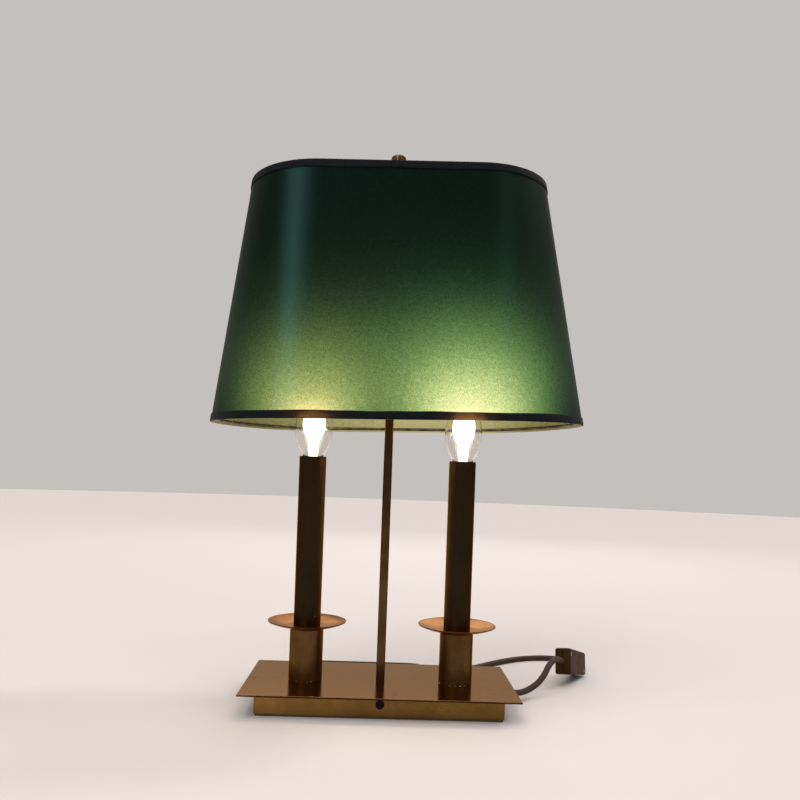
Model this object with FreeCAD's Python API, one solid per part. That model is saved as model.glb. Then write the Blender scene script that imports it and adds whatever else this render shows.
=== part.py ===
"""A bouillotte table lamp with two candle lights and an oval paper shade.

Millimetres, +Z up, +X to the right, +Y away from the viewer.
The origin is on the table, at the middle of the base.
"""
import FreeCAD, Part
import math
import os

from FreeCAD import Placement, Rotation, Vector

os.makedirs("parts", exist_ok=True)

# Base: a thin brass plate on a folded tray with a felt underneath
plate_length = 246.0
plate_depth = 124.0
plate_thickness = 1.5
plate_edge_radius = 0.4
tray_length = 220.0
tray_depth = 98.0
tray_height = 18.2
tray_sheet = 1.2
tray_corner_radius = 1.6
tray_seam = 0.5
felt_thickness = 2.0
felt_inset = 0.8

# Iron weight in the front half of the tray
ballast_length = 190.0
ballast_depth = 32.0
ballast_thickness = 9.0
ballast_corner_radius = 3.0
ballast_wall_gap = 3.0
ballast_notch_margin = 3.0
ballast_screw_pitch = 150.0

# Angle lugs under the plate, which the tray is screwed to
lug_width = 16.0
lug_flange = 10.0
lug_sheet = 1.5
lug_drop = 13.0
lug_nut_radius = 4.0
lug_nut_length = 3.0
tray_screw_height = 12.8
tray_screw_radius = 2.0
tray_screw_head_radius = 3.8
tray_screw_head_height = 2.0
tray_screw_length = 8.0

# Square stem with the finial on its top
stem_width = 8.0
stem_above_shade = 17.0
stem_edge = 0.5
tenon_radius = 3.0
tenon_length = 8.5
stem_washer_radius = 7.0
washer_thickness = 1.2
stem_nut_flats = 10.0
stem_nut_height = 4.5
finial_stud_radius = 2.0
finial_stud_length = 8.0
finial_radius = 7.0
finial_height = 13.5
finial_neck_radius = 5.2
finial_neck_height = 1.6
finial_shoulder = 0.6
finial_crown = 2.6

# Candles
candle_to_tray_end = 39.8
candle_offset = tray_length / 2 - candle_to_tray_end
cup_radius = 15.5
cup_height = 46.8
cup_wall = 1.2
cup_boss_radius = 13.2
cup_boss_height = 1.4
pan_radius = 36.3
pan_flat_radius = 19.0
pan_rise = 4.8
pan_sheet = 0.8
candle_radius = 12.5
candle_wall = 0.8
candle_length = 157.8
nipple_radius = 5.0
nipple_bore_radius = 3.5
nipple_nut_flats = 14.0
nipple_nut_height = 3.8
nipple_washer_radius = 9.0
nipple_end_below_nut = 0.4

# Lampholders, measured down from the rim of the candle tube
holder_below_rim = 6.5
holder_radius = 11.3
holder_length = 62.0
holder_thread_depth = 8.0
holder_wire_room = 22.0
socket_radius = 8.0
socket_depth = 24.5
socket_shell_wall = 0.6
contact_width = 5.0
contact_height = 1.8
contact_length = 12.0

# Candle bulbs with a small screw cap
cap_thread_radius = 6.9
cap_thread_length = 20.0
cap_tip_radius = 2.5
cap_skirt_radius = 8.4
cap_skirt_height = 4.0
cap_skirt_wall = 0.6
glass_wall = 0.8
glass_neck_radius = 7.6
glass_radius = 17.5
glass_belly_height = 30.0
glass_tip_radius = 3.6
glass_height = 73.0
mount_foot_radius = 6.4
mount_foot_height = 0.9
mount_rod_radius = 2.2
mount_length = 24.0

# Oval paper shade, the same flat length at both rims
shade_flat_length = 138.0
shade_bottom_depth = 206.0
shade_top_depth = 135.0
shade_bottom_height = 259.0
shade_top_height = 482.0
shade_paper = 1.0
ribbon_height = 7.0
ribbon_thickness = 0.6
ring_wire_radius = 1.5
ring_below_rim = 3.0

# Shade carrier that slides on the stem
hub_radius = 8.0
hub_below = 13.0
hub_above = 8.0
hub_flange_radius = 11.0
hub_flange_height = 2.0
spider_plate_radius = 13.0
spider_plate_thickness = 2.0
ring_nut_radius = 10.5
ring_nut_height = 3.0
lock_screw_drop = 8.5
lock_screw_radius = 2.0
lock_collar_radius = 3.5
lock_collar_length = 2.5
lock_key_start = 14.5
lock_key_length = 13.0
lock_key_width = 13.0
lock_key_thickness = 2.6
lock_key_hole_radius = 1.8
lock_key_hole_shift = 1.0
lock_key_overlap = 1.0

# Mains lead
cord_radius = 3.0
cord_exit_y = 12.5
cord_exit_height = 9.5
lead_straight = 8.0
gland_outside = 7.0
gland_inside = 15.0
gland_flange_radius = 6.0
gland_flange = 1.4
gland_body_radius = 5.0
gland_tip_radius = 3.9
clamp_length = 9.0
clamp_depth = 24.0
clamp_top_above_cord = 5.0
clamp_from_wall = 26.0
clamp_screw_radius = 1.5
clamp_screw_head_radius = 2.8
clamp_screw_head_height = 1.8
terminal_length = 22.0
terminal_depth = 26.0
terminal_height = 11.0
terminal_x = 41.0
terminal_y = 6.0
sheath_to_terminal = 6.0
wire_radius = 1.1
wire_spacing = 3.2
wire_height = 8.0
wire_bend_radius = 5.0

# Inline switch on the lead, lying on its narrow edge with its near end raised
switch_near_end = Vector(189.6, 73.2, 26.7)
switch_heading_deg = 30.4
switch_dip_deg = 13.7
switch_roll_deg = 6.6
switch_length = 62.0
switch_height = 27.0
switch_tail_height = 24.0
switch_thickness = 16.5
switch_end_drop = 1.2
switch_corner_radius = 2.6
switch_edge_radius = 2.2
switch_seam_chamfer = 0.4
switch_wall = 2.2
switch_end_solid = 8.0
switch_cord_depth = 5.0
rocker_length = 20.0
rocker_width = 12.0
rocker_pivot_below_face = 5.0
rocker_rise = 1.2
rocker_tilt_deg = 9.0
rocker_foot_width = 7.0
rocker_foot_depth = 2.5
rocker_pin_radius = 1.0
rocker_side_gap = 0.35
rocker_well_wall = 2.0
switch_screw_radius = 1.5
switch_screw_head_radius = 2.6
switch_screw_head_height = 1.8
switch_screw_z = 7.6
switch_contact_size = 6.0
switch_contact_depth = 3.5

# Flat two-pin plug
plug_centre_y = 68.5
plug_back_x = 77.0
plug_length = 36.0
plug_width = 35.0
plug_thickness = 14.0
plug_neck_width = 15.0
plug_neck_length = 9.0
plug_shoulder = 21.6
plug_edge_radius = 2.0
plug_pin_spacing = 18.6
plug_pin_radius = 2.0
plug_pin_length = 19.0
plug_pin_root = 6.3

# Hank of put-away lead behind the tray
hank_run = 93.0
hank_inner_bend = 18.0
hank_rings = 2
hank_layers = 2
hank_pitch = 6.1
hank_centre_x = -17.0
hank_gap_to_tray = 2.4
tie_thickness = 0.8
tie_width = 9.0
tie_clearance = 0.2

# Clearances
bolt_clearance = 0.1
slide_clearance = 0.12
floor_clearance = 0.05
turn_clearance = 0.05
seat_clearance = 0.15
joint_gap = 0.3
cord_clearance = 0.06

# Heights that follow from the sizes above
tray_bottom = felt_thickness
tray_floor = tray_bottom + tray_sheet
plate_bottom = tray_bottom + tray_height
plate_top = plate_bottom + plate_thickness
cup_top = plate_top + cup_height
pan_bottom = cup_top + cup_boss_height
pan_top = pan_bottom + pan_sheet
candle_top = pan_top + candle_length
holder_top = candle_top - holder_below_rim
holder_bottom = holder_top - holder_length
socket_bottom = holder_top - socket_depth
nipple_top = holder_bottom + holder_thread_depth
nipple_bottom = plate_bottom - washer_thickness - nipple_nut_height - nipple_end_below_nut
carrier_height = shade_top_height - ring_below_rim
spider_bottom = carrier_height - spider_plate_thickness / 2
spider_top = spider_bottom + spider_plate_thickness
hub_bottom = spider_bottom - hub_below
hub_top = spider_bottom + hub_above
stem_top = shade_top_height + stem_above_shade
candle_sides = {"left": -candle_offset, "right": candle_offset}


def save(shape, node):
    """Write one sub-part."""
    if not shape.isValid():
        raise RuntimeError(node + " is not a valid solid")
    shape.exportStep("parts/" + node + ".step")


def block(x_from, x_to, y_from, y_to, z_from, z_to):
    """A box between two corners."""
    return Part.makeBox(x_to - x_from, y_to - y_from, z_to - z_from, Vector(x_from, y_from, z_from))


def rod(radius, start, end):
    """A round bar between two points."""
    return Part.makeCylinder(radius, (end - start).Length, start, end - start)


def upright(radius, z_from, z_to, x=0.0, y=0.0):
    """A round bar along Z."""
    return rod(radius, Vector(x, y, z_from), Vector(x, y, z_to))


def ring(outer, inner, z_from, z_to, x=0.0, y=0.0):
    """A round tube along Z."""
    return upright(outer, z_from, z_to, x, y).cut(upright(inner, z_from, z_to, x, y))


def edges_at(shape, height):
    """The edges whose middle lies at a height."""
    return [edge for edge in shape.Edges if abs(edge.CenterOfMass.z - height) < 1e-6]


def turned(profile, x=0.0, y=0.0):
    """A turned piece from its half profile, a list of (radius, height)."""
    points = [Vector(radius, 0, height) for radius, height in profile]
    face = Part.Face(Part.makePolygon(points + [points[0]]))
    solid = face.revolve(Vector(0, 0, 0), Vector(0, 0, 1), 360)
    solid.translate(Vector(x, y, 0))
    return solid


def hex_nut(flats, bore_radius, z_from, z_to, x=0.0, y=0.0):
    """A six-sided nut with a plain bore."""
    corner = flats / math.sqrt(3)
    turns = [math.radians(60 * side) for side in range(7)]
    points = [Vector(x + corner * math.cos(turn), y + corner * math.sin(turn), z_from) for turn in turns]
    prism = Part.Face(Part.makePolygon(points)).extrude(Vector(0, 0, z_to - z_from))
    return prism.cut(upright(bore_radius, z_from, z_to, x, y))


def oval_wire(flat_length, radius, height):
    """A flat oval: two straight sides along X joined by half circles."""
    half = flat_length / 2
    front_left = Vector(-half, -radius, height)
    front_right = Vector(half, -radius, height)
    back_right = Vector(half, radius, height)
    back_left = Vector(-half, radius, height)
    right_end = Vector(half + radius, 0, height)
    left_end = Vector(-half - radius, 0, height)
    return Part.Wire([
        Part.LineSegment(front_left, front_right).toShape(),
        Part.Arc(front_right, right_end, back_right).toShape(),
        Part.LineSegment(back_right, back_left).toShape(),
        Part.Arc(back_left, left_end, front_left).toShape(),
    ])


def tube_along(points, radius, name):
    """A round cord: straight runs between the points, with tangent arcs at the turns."""
    edges = []
    length = 0.0
    radii = []
    last = points[0]
    for index in range(1, len(points) - 1):
        before = points[index - 1] - points[index]
        after = points[index + 1] - points[index]
        turn = math.pi - before.getAngle(after)
        trim = 0.45 * min(before.Length, after.Length)
        bend = trim / math.tan(turn / 2)
        radii.append(bend)
        before.normalize()
        after.normalize()
        start = points[index] + before * trim
        end = points[index] + after * trim
        inward = before + after
        inward.normalize()
        middle = points[index] + inward * (math.hypot(bend, trim) - bend)
        edges.append(Part.LineSegment(last, start).toShape())
        edges.append(Part.Arc(start, middle, end).toShape())
        length += (start - last).Length + bend * turn
        last = end
    edges.append(Part.LineSegment(last, points[-1]).toShape())
    length += (points[-1] - last).Length
    path = Part.Wire(edges)
    section = Part.Wire(Part.makeCircle(radius, points[0], points[1] - points[0]))
    solid = path.makePipeShell([section], True, False)
    expected = math.pi * radius * radius * length
    print(name, "length", round(length, 1), "bends", [round(bend, 1) for bend in radii],
          "volume ratio", round(solid.Volume / expected, 4))
    return solid


# Base

def base_plate():
    """The flat plate, with holes for the stem and the two candle nipples."""
    half_length = plate_length / 2
    half_depth = plate_depth / 2
    plate = block(-half_length, half_length, -half_depth, half_depth, plate_bottom, plate_top)
    plate = plate.makeFillet(min(plate_edge_radius, plate_thickness / 3), edges_at(plate, plate_top))
    plate = plate.cut(upright(tenon_radius + bolt_clearance, plate_bottom, plate_top))
    for x in candle_sides.values():
        plate = plate.cut(upright(nipple_radius + bolt_clearance, plate_bottom, plate_top, x))
    return plate


def tray_screw_axis(side):
    """Where a tray screw's head meets the wall, and the way its head points; side is -1 at the front."""
    return Vector(0, side * tray_depth / 2, tray_screw_height), Vector(0, side, 0)


def cord_axis(x):
    """A point on the lead's straight stretch through the tray wall."""
    return Vector(x, cord_exit_y, cord_exit_height)


def base_tray():
    """The folded tray: a floor and four walls with an open seam at each corner."""
    half_length = tray_length / 2
    half_depth = tray_depth / 2
    tray = block(-half_length, half_length, -half_depth, half_depth, tray_bottom, plate_bottom)
    tray = tray.makeFillet(tray_corner_radius, edges_at(tray, (tray_bottom + plate_bottom) / 2))
    tray = tray.cut(block(
        tray_sheet - half_length, half_length - tray_sheet,
        tray_sheet - half_depth, half_depth - tray_sheet, tray_floor, plate_bottom))
    for x_side in (-1, 1):
        for y_side in (-1, 1):
            seam_y = y_side * (half_depth - tray_corner_radius - tray_seam)
            x_outer = x_side * (half_length + tray_sheet)
            x_inner = x_side * (half_length - 2 * tray_sheet)
            tray = tray.cut(block(
                min(x_outer, x_inner), max(x_outer, x_inner),
                seam_y - tray_seam / 2, seam_y + tray_seam / 2, tray_floor, plate_bottom))
    for side in (-1, 1):
        wall, outward = tray_screw_axis(side)
        outside = wall + outward * tray_sheet
        inside = wall - outward * 2 * tray_sheet
        tray = tray.cut(rod(tray_screw_radius + bolt_clearance, outside, inside))
    inside = cord_axis(half_length - 2 * tray_sheet)
    outside = cord_axis(half_length + tray_sheet)
    tray = tray.cut(rod(gland_body_radius + bolt_clearance, inside, outside))
    for x in ballast_screw_places():
        hole = upright(tray_screw_radius + bolt_clearance, tray_bottom, tray_floor, x, ballast_centre_y())
        tray = tray.cut(hole)
    return tray


def base_felt():
    """The felt the lamp stands on."""
    inset = felt_inset
    felt = block(
        inset - tray_length / 2, tray_length / 2 - inset,
        inset - tray_depth / 2, tray_depth / 2 - inset, 0.0, felt_thickness)
    return felt.makeFillet(tray_corner_radius, edges_at(felt, felt_thickness / 2))


def ballast_centre_y():
    """The middle of the weight, from the tray's front wall."""
    return -tray_depth / 2 + tray_sheet + ballast_wall_gap + ballast_depth / 2


def ballast_screw_places():
    """Where the weight's two screws stand along X."""
    return -ballast_screw_pitch / 2, ballast_screw_pitch / 2


def ballast_plate():
    """The iron weight, notched round the front lug and drilled for its screws."""
    middle = ballast_centre_y()
    top = tray_floor + ballast_thickness
    weight = block(
        -ballast_length / 2, ballast_length / 2, middle - ballast_depth / 2, middle + ballast_depth / 2,
        tray_floor, top)
    corners = edges_at(weight, (tray_floor + top) / 2)
    weight = weight.makeFillet(min(ballast_corner_radius, ballast_depth / 6), corners)
    lug_depth = max(lug_flange, lug_sheet + lug_nut_length)
    lug_reach = tray_sheet + seat_clearance + lug_depth + ballast_notch_margin
    notch_half = lug_width / 2 + ballast_notch_margin
    weight = weight.cut(block(
        -notch_half, notch_half, -tray_depth / 2, -tray_depth / 2 + lug_reach, tray_floor, top))
    for x in ballast_screw_places():
        weight = weight.cut(upright(tray_screw_radius + bolt_clearance, tray_floor, top, x, middle))
    return weight


def slotted_screw(head_at, outward, length, head_radius, head_height, shank_radius):
    """A slotted screw whose head stands out of a face and whose shank goes the other way."""
    crown = head_at + outward * head_height
    screw = rod(head_radius, head_at, crown)
    rim = [edge for edge in screw.Edges if abs((edge.CenterOfMass - crown).dot(outward)) < 1e-6]
    screw = screw.makeFillet(0.4 * head_height, rim)
    screw = screw.fuse(rod(shank_radius, head_at, head_at - outward * length))
    across = outward.cross(Vector(0, 0, 1)) if abs(outward.z) < 0.5 else Vector(1, 0, 0)
    slot = Part.makeBox(3 * head_radius, head_radius / 3, head_height)
    slot.translate(Vector(-1.5 * head_radius, -head_radius / 6, 0.55 * head_height))
    slot.Placement = Placement(head_at, Rotation(across, Vector(), outward, "ZXY")).multiply(slot.Placement)
    return screw.cut(slot)


def ballast_screws():
    """The two screws that hold the weight to the tray's floor."""
    top = tray_floor + ballast_thickness
    return Part.makeCompound([
        slotted_screw(
            Vector(x, ballast_centre_y(), top), Vector(0, 0, 1), top - tray_bottom,
            tray_screw_head_radius, tray_screw_head_height, tray_screw_radius)
        for x in ballast_screw_places()
    ])


def tray_lug(side):
    """An angle lug brazed under the plate, with a tapped boss behind its upright."""
    wall_inside = tray_depth / 2 - tray_sheet - seat_clearance
    y_outer = side * wall_inside
    y_sheet = side * (wall_inside - lug_sheet)
    y_flange = side * (wall_inside - lug_flange)
    flange = block(
        -lug_width / 2, lug_width / 2, min(y_outer, y_flange), max(y_outer, y_flange),
        plate_bottom - lug_sheet, plate_bottom)
    leaf = block(
        -lug_width / 2, lug_width / 2, min(y_outer, y_sheet), max(y_outer, y_sheet),
        plate_bottom - lug_drop, plate_bottom)
    boss_start = Vector(0, y_sheet, tray_screw_height)
    boss_end = Vector(0, y_sheet - side * lug_nut_length, tray_screw_height)
    lug = flange.fuse(leaf).fuse(rod(lug_nut_radius, boss_start, boss_end)).removeSplitter()
    return lug.cut(rod(tray_screw_radius + turn_clearance, Vector(0, y_outer, tray_screw_height), boss_end))


def tray_lugs():
    """The front and rear lugs."""
    return Part.makeCompound([tray_lug(-1), tray_lug(1)])


def tray_screws():
    """The round-headed screws in the tray's front and rear walls."""
    screws = []
    for side in (-1, 1):
        wall, outward = tray_screw_axis(side)
        screws.append(slotted_screw(
            wall, outward, tray_screw_length,
            tray_screw_head_radius, tray_screw_head_height, tray_screw_radius))
    return Part.makeCompound(screws)


# Stem

def stem():
    """The square bar, with a round tenon below and a stud for the finial above."""
    half = stem_width / 2
    bar = block(-half, half, -half, half, plate_top, stem_top)
    long_edges = edges_at(bar, (plate_top + stem_top) / 2)
    bar = bar.makeChamfer(min(stem_edge, stem_width / 8), long_edges)
    bar = bar.fuse(upright(tenon_radius, plate_top - tenon_length, plate_top))
    return bar.fuse(upright(finial_stud_radius, stem_top, stem_top + finial_stud_length))


def stem_nut():
    """The nut that draws the stem down on the plate."""
    top = plate_bottom - washer_thickness
    return hex_nut(stem_nut_flats, tenon_radius + turn_clearance, top - stem_nut_height, top)


def finial():
    """The knob that screws on the stem's stud."""
    bottom = stem_top + slide_clearance
    top = bottom + finial_height
    knob = turned([
        (0, bottom), (finial_neck_radius, bottom), (finial_neck_radius, bottom + finial_neck_height),
        (finial_radius, bottom + finial_neck_height + finial_shoulder), (finial_radius, top), (0, top)])
    knob = knob.makeFillet(finial_crown, edges_at(knob, top))
    bore_end = stem_top + finial_stud_length + joint_gap
    return knob.cut(upright(finial_stud_radius + turn_clearance, bottom, bore_end))


# Candles

def cup(x):
    """The drawn cup under the drip pan, closed on top with a low boss."""
    profile = [
        (cup_radius - cup_wall, plate_top), (cup_radius, plate_top), (cup_radius, cup_top),
        (cup_boss_radius, cup_top), (cup_boss_radius, pan_bottom),
        (nipple_radius + bolt_clearance, pan_bottom), (nipple_radius + bolt_clearance, cup_top - cup_wall),
        (cup_radius - cup_wall, cup_top - cup_wall)]
    return turned(profile, x)


def drip_pan(x):
    """The spun drip pan: flat in the middle, with an upswept rim."""
    slope = math.atan2(pan_rise, pan_radius - pan_flat_radius)
    lift = pan_sheet / math.cos(slope)
    hole = nipple_radius + bolt_clearance
    middle = (pan_flat_radius + pan_radius) / 2
    sag = 0.35 * pan_rise
    lower = [
        Vector(pan_flat_radius, 0, pan_bottom),
        Vector(middle, 0, pan_bottom + pan_rise / 2 - sag / 2),
        Vector(pan_radius, 0, pan_bottom + pan_rise)]
    upper = [point + Vector(0, 0, lift) for point in lower]
    upper[0] = Vector(pan_flat_radius, 0, pan_top)
    edges = [
        Part.LineSegment(Vector(hole, 0, pan_bottom), lower[0]).toShape(),
        Part.Arc(*lower).toShape(),
        Part.LineSegment(lower[2], upper[2]).toShape(),
        Part.Arc(upper[2], upper[1], upper[0]).toShape(),
        Part.LineSegment(upper[0], Vector(hole, 0, pan_top)).toShape(),
        Part.LineSegment(Vector(hole, 0, pan_top), Vector(hole, 0, pan_bottom)).toShape()]
    pan = Part.Face(Part.Wire(edges)).revolve(Vector(), Vector(0, 0, 1), 360)
    pan.translate(Vector(x, 0, 0))
    return pan


def candle_tube(x):
    """The brass candle tube, open at both ends."""
    return ring(candle_radius, candle_radius - candle_wall, pan_top, candle_top, x)


def nipple(x):
    """The hollow threaded rod that clamps plate, cup and pan and carries the lampholder."""
    return ring(nipple_radius, nipple_bore_radius, nipple_bottom, nipple_top, x)


def nipple_nuts():
    """The nuts under the plate and on the drip pans."""
    nuts = []
    bore = nipple_radius + turn_clearance
    below = plate_bottom - washer_thickness
    for x in candle_sides.values():
        for bottom in (below - nipple_nut_height, pan_top):
            nuts.append(hex_nut(nipple_nut_flats, bore, bottom, bottom + nipple_nut_height, x))
    return Part.makeCompound(nuts)


def plate_washers():
    """The washers under the plate: one for the stem's nut and one for each nipple's."""
    bottom = plate_bottom - washer_thickness
    washers = [ring(stem_washer_radius, tenon_radius + bolt_clearance, bottom, plate_bottom)]
    for x in candle_sides.values():
        washers.append(ring(nipple_washer_radius, nipple_radius + bolt_clearance, bottom, plate_bottom, x))
    return Part.makeCompound(washers)


def lampholder(x):
    """The moulded lampholder: a socket on top, wire room and the nipple's thread below."""
    body = upright(holder_radius, holder_bottom, holder_top, x)
    body = body.cut(upright(socket_radius, socket_bottom, holder_top, x))
    body = body.cut(upright(nipple_bore_radius, nipple_top, nipple_top + holder_wire_room, x))
    return body.cut(upright(nipple_radius + turn_clearance, holder_bottom, nipple_top, x))


def holder_shell(x):
    """The metal screw shell that lines the socket."""
    outer = socket_radius - bolt_clearance
    return ring(outer, outer - socket_shell_wall, socket_bottom, holder_top, x)


def holder_contacts():
    """The centre contact at the bottom of each socket."""
    strips = []
    for x in candle_sides.values():
        half = contact_length / 2
        strips.append(block(
            x - half, x + half, -contact_width / 2, contact_width / 2,
            socket_bottom, socket_bottom + contact_height))
    return Part.makeCompound(strips)


def bulb_cap(x):
    """The bulb's screw cap, with its contact tip and the skirt that holds the glass."""
    thread_bottom = holder_top - cap_thread_length
    tip_bottom = socket_bottom + contact_height + joint_gap / 2
    seat = holder_top + seat_clearance
    skirt_top = seat + cap_skirt_height
    pocket = cap_skirt_radius - cap_skirt_wall
    return turned([
        (0, tip_bottom), (cap_tip_radius, tip_bottom), (cap_thread_radius, thread_bottom),
        (cap_thread_radius, seat), (cap_skirt_radius, seat), (cap_skirt_radius, skirt_top),
        (pocket, skirt_top), (pocket, glass_bottom()), (0, glass_bottom())], x)


def glass_bottom():
    """The floor of the cap's pocket, which the glass stands on."""
    return holder_top + seat_clearance + cap_skirt_wall


def glass_outline(inset):
    """The half outline of the candle-shaped glass: three tangent arcs, drawn in from the outside by inset."""
    neck_z = glass_bottom() + cap_skirt_height
    belly_z = glass_bottom() + glass_belly_height
    tip_z = glass_bottom() + glass_height - glass_tip_radius
    swell = glass_radius - glass_neck_radius
    lower_bend = (swell ** 2 + (belly_z - neck_z) ** 2) / (2 * swell)
    rise = tip_z - belly_z
    taper = glass_radius - glass_tip_radius
    upper_bend = (glass_radius ** 2 + rise ** 2 - glass_tip_radius ** 2) / (2 * taper)
    lower_centre = Vector(glass_radius - lower_bend, 0, belly_z)
    upper_centre = Vector(glass_radius - upper_bend, 0, belly_z)
    tip_centre = Vector(0, 0, tip_z)

    def point(centre, bend, angle):
        return centre + Vector(math.cos(angle), 0, math.sin(angle)) * (bend - inset)
    neck_angle = -math.acos((glass_neck_radius - inset - lower_centre.x) / (lower_bend - inset))
    tip_angle = math.atan2(rise, -upper_centre.x)
    neck = point(lower_centre, lower_bend, neck_angle)
    belly = point(upper_centre, upper_bend, 0.0)
    shoulder = point(upper_centre, upper_bend, tip_angle)
    over_tip = point(tip_centre, glass_tip_radius, (tip_angle + math.pi / 2) / 2)
    crown = point(tip_centre, glass_tip_radius, math.pi / 2)
    return [
        Part.Arc(neck, point(lower_centre, lower_bend, neck_angle / 2), belly).toShape(),
        Part.Arc(belly, point(upper_centre, upper_bend, tip_angle / 2), shoulder).toShape(),
        Part.Arc(shoulder, over_tip, crown).toShape(),
    ], neck, crown


def bulb_glass(x):
    """The clear candle-shaped bulb glass, open at its neck."""
    outer, outer_neck, outer_crown = glass_outline(0.0)
    inner, inner_neck, inner_crown = glass_outline(glass_wall)
    outer_foot = Vector(outer_neck.x, 0, glass_bottom())
    inner_foot = Vector(inner_neck.x, 0, glass_bottom())
    edges = [
        Part.LineSegment(inner_foot, outer_foot).toShape(),
        Part.LineSegment(outer_foot, outer_neck).toShape(),
        Part.LineSegment(outer_crown, inner_crown).toShape(),
        Part.LineSegment(inner_neck, inner_foot).toShape()]
    wire = Part.Wire(Part.__sortEdges__(edges + outer + inner))
    glass = Part.Face(wire).revolve(Vector(), Vector(0, 0, 1), 360)
    glass.translate(Vector(x, 0, 0))
    return glass


def bulb_mount(x):
    """The pressed glass stem inside the bulb, which carries the filament."""
    base = glass_bottom()
    return turned([
        (0, base), (mount_foot_radius, base), (mount_foot_radius, base + mount_foot_height),
        (mount_rod_radius, base + 3 * mount_foot_height), (mount_rod_radius, base + mount_length),
        (0, base + mount_length + mount_rod_radius)], x)


def lamp_wires(x):
    """The two wires from the terminal block up the nipple into the lampholder."""
    side = 1 if x > terminal_x else -1
    start_x = terminal_x + side * terminal_length / 2
    wires = []
    for y in (-wire_spacing / 2, wire_spacing / 2):
        start = Vector(start_x, y, wire_height)
        bend_start = Vector(x - side * wire_bend_radius, y, wire_height)
        bend_end = Vector(x, y, wire_height + wire_bend_radius)
        inset = wire_bend_radius * (1 - math.sqrt(0.5))
        bend_middle = Vector(x - side * inset, y, wire_height + inset)
        end = Vector(x, y, nipple_top + holder_wire_room / 2)
        path = Part.Wire([
            Part.LineSegment(start, bend_start).toShape(),
            Part.Arc(bend_start, bend_middle, bend_end).toShape(),
            Part.LineSegment(bend_end, end).toShape()])
        section = Part.Wire(Part.makeCircle(wire_radius, start, Vector(side, 0, 0)))
        wires.append(path.makePipeShell([section], True, False))
    return Part.makeCompound(wires)


# Shade

def shade_radius(height, inset=0.0):
    """The radius of the shade's round ends at a height, drawn in by inset."""
    share = (height - shade_bottom_height) / (shade_top_height - shade_bottom_height)
    depth = shade_bottom_depth + share * (shade_top_depth - shade_bottom_depth)
    return depth / 2 - inset


def shade_band(z_from, z_to, outer_inset, inner_inset):
    """A band of the shade's tapered oval wall between two heights."""
    def solid(inset):
        return Part.makeLoft([
            oval_wire(shade_flat_length, shade_radius(z_from, inset), z_from),
            oval_wire(shade_flat_length, shade_radius(z_to, inset), z_to)], True, True)
    return solid(outer_inset).cut(solid(inner_inset))


def shade_skin():
    """The paper wall of the shade."""
    return shade_band(shade_bottom_height, shade_top_height, 0.0, shade_paper)


def shade_ribbon(z_from, z_to):
    """A ribbon round the outside of a rim."""
    return shade_band(z_from, z_to, -ribbon_thickness - seat_clearance, -seat_clearance)


def wire_ring(height):
    """An oval ring of wire just inside the paper, and its path's radius."""
    radius = shade_radius(height, shade_paper + seat_clearance + 1.02 * ring_wire_radius)
    path = oval_wire(shade_flat_length, radius, height)
    section = Part.Wire(Part.makeCircle(
        ring_wire_radius, Vector(-shade_flat_length / 2, -radius, height), Vector(1, 0, 0)))
    return path.makePipeShell([section], True, False), radius


def shade_spider():
    """The top ring with four arms and the plate that sits on the hub."""
    spider, radius = wire_ring(carrier_height)
    plate = ring(spider_plate_radius, hub_radius + bolt_clearance, spider_bottom, spider_top)
    corner = Vector(shade_flat_length / 2, radius, 0)
    reach = corner.Length
    inner = (spider_plate_radius - ring_wire_radius) / reach
    for x_side in (-1, 1):
        for y_side in (-1, 1):
            start = Vector(x_side * corner.x * inner, y_side * corner.y * inner, carrier_height)
            end = Vector(x_side * corner.x, y_side * corner.y, carrier_height)
            spider = spider.fuse(rod(0.98 * ring_wire_radius, start, end))
    return spider.fuse(plate).cut(upright(hub_radius + bolt_clearance, spider_bottom - 1, spider_top + 1))


def shade_bottom_ring():
    """The wire ring inside the lower rim."""
    return wire_ring(shade_bottom_height + ring_below_rim)[0]


def lock_screw_height():
    """The height of the lock screw's axis."""
    return spider_bottom - lock_screw_drop


def shade_hub():
    """The sleeve with a square bore that slides on the stem."""
    hub = upright(hub_radius, hub_bottom, hub_top)
    hub = hub.fuse(upright(hub_flange_radius, spider_bottom - hub_flange_height, spider_bottom))
    half = stem_width / 2 + slide_clearance
    hub = hub.cut(block(-half, half, -half, half, hub_bottom, hub_top))
    height = lock_screw_height()
    return hub.cut(rod(
        lock_screw_radius + turn_clearance, Vector(0, 0, height), Vector(2 * hub_radius, 0, height)))


def hub_ring_nut():
    """The round nut that holds the spider's plate on the hub's flange."""
    return ring(ring_nut_radius, hub_radius + turn_clearance, spider_top, spider_top + ring_nut_height)


def shade_lock_screw():
    """The key screw that clamps the hub on the stem."""
    height = lock_screw_height()
    start = stem_width / 2 + joint_gap
    key_end = lock_key_start + lock_key_length
    collar_start = lock_key_start - lock_collar_length
    screw = rod(
        lock_screw_radius, Vector(start, 0, height), Vector(lock_key_start + lock_key_overlap, 0, height))
    collar = rod(lock_collar_radius, Vector(collar_start, 0, height), Vector(lock_key_start, 0, height))
    screw = screw.fuse(collar)
    middle = Vector((lock_key_start + key_end) / 2, 0, height)
    paddle = Part.makeCylinder(lock_key_width / 2, lock_key_thickness, middle, Vector(0, 1, 0))
    paddle.translate(Vector(0, -lock_key_thickness / 2, 0))
    screw = screw.fuse(paddle)
    for side in (-1, 1):
        hole = middle + Vector(lock_key_hole_shift, 0, side * lock_key_width / 4)
        reach = Vector(0, lock_key_thickness, 0)
        screw = screw.cut(rod(lock_key_hole_radius, hole - reach, hole + reach))
    return screw


# Mains lead inside the tray

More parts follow.
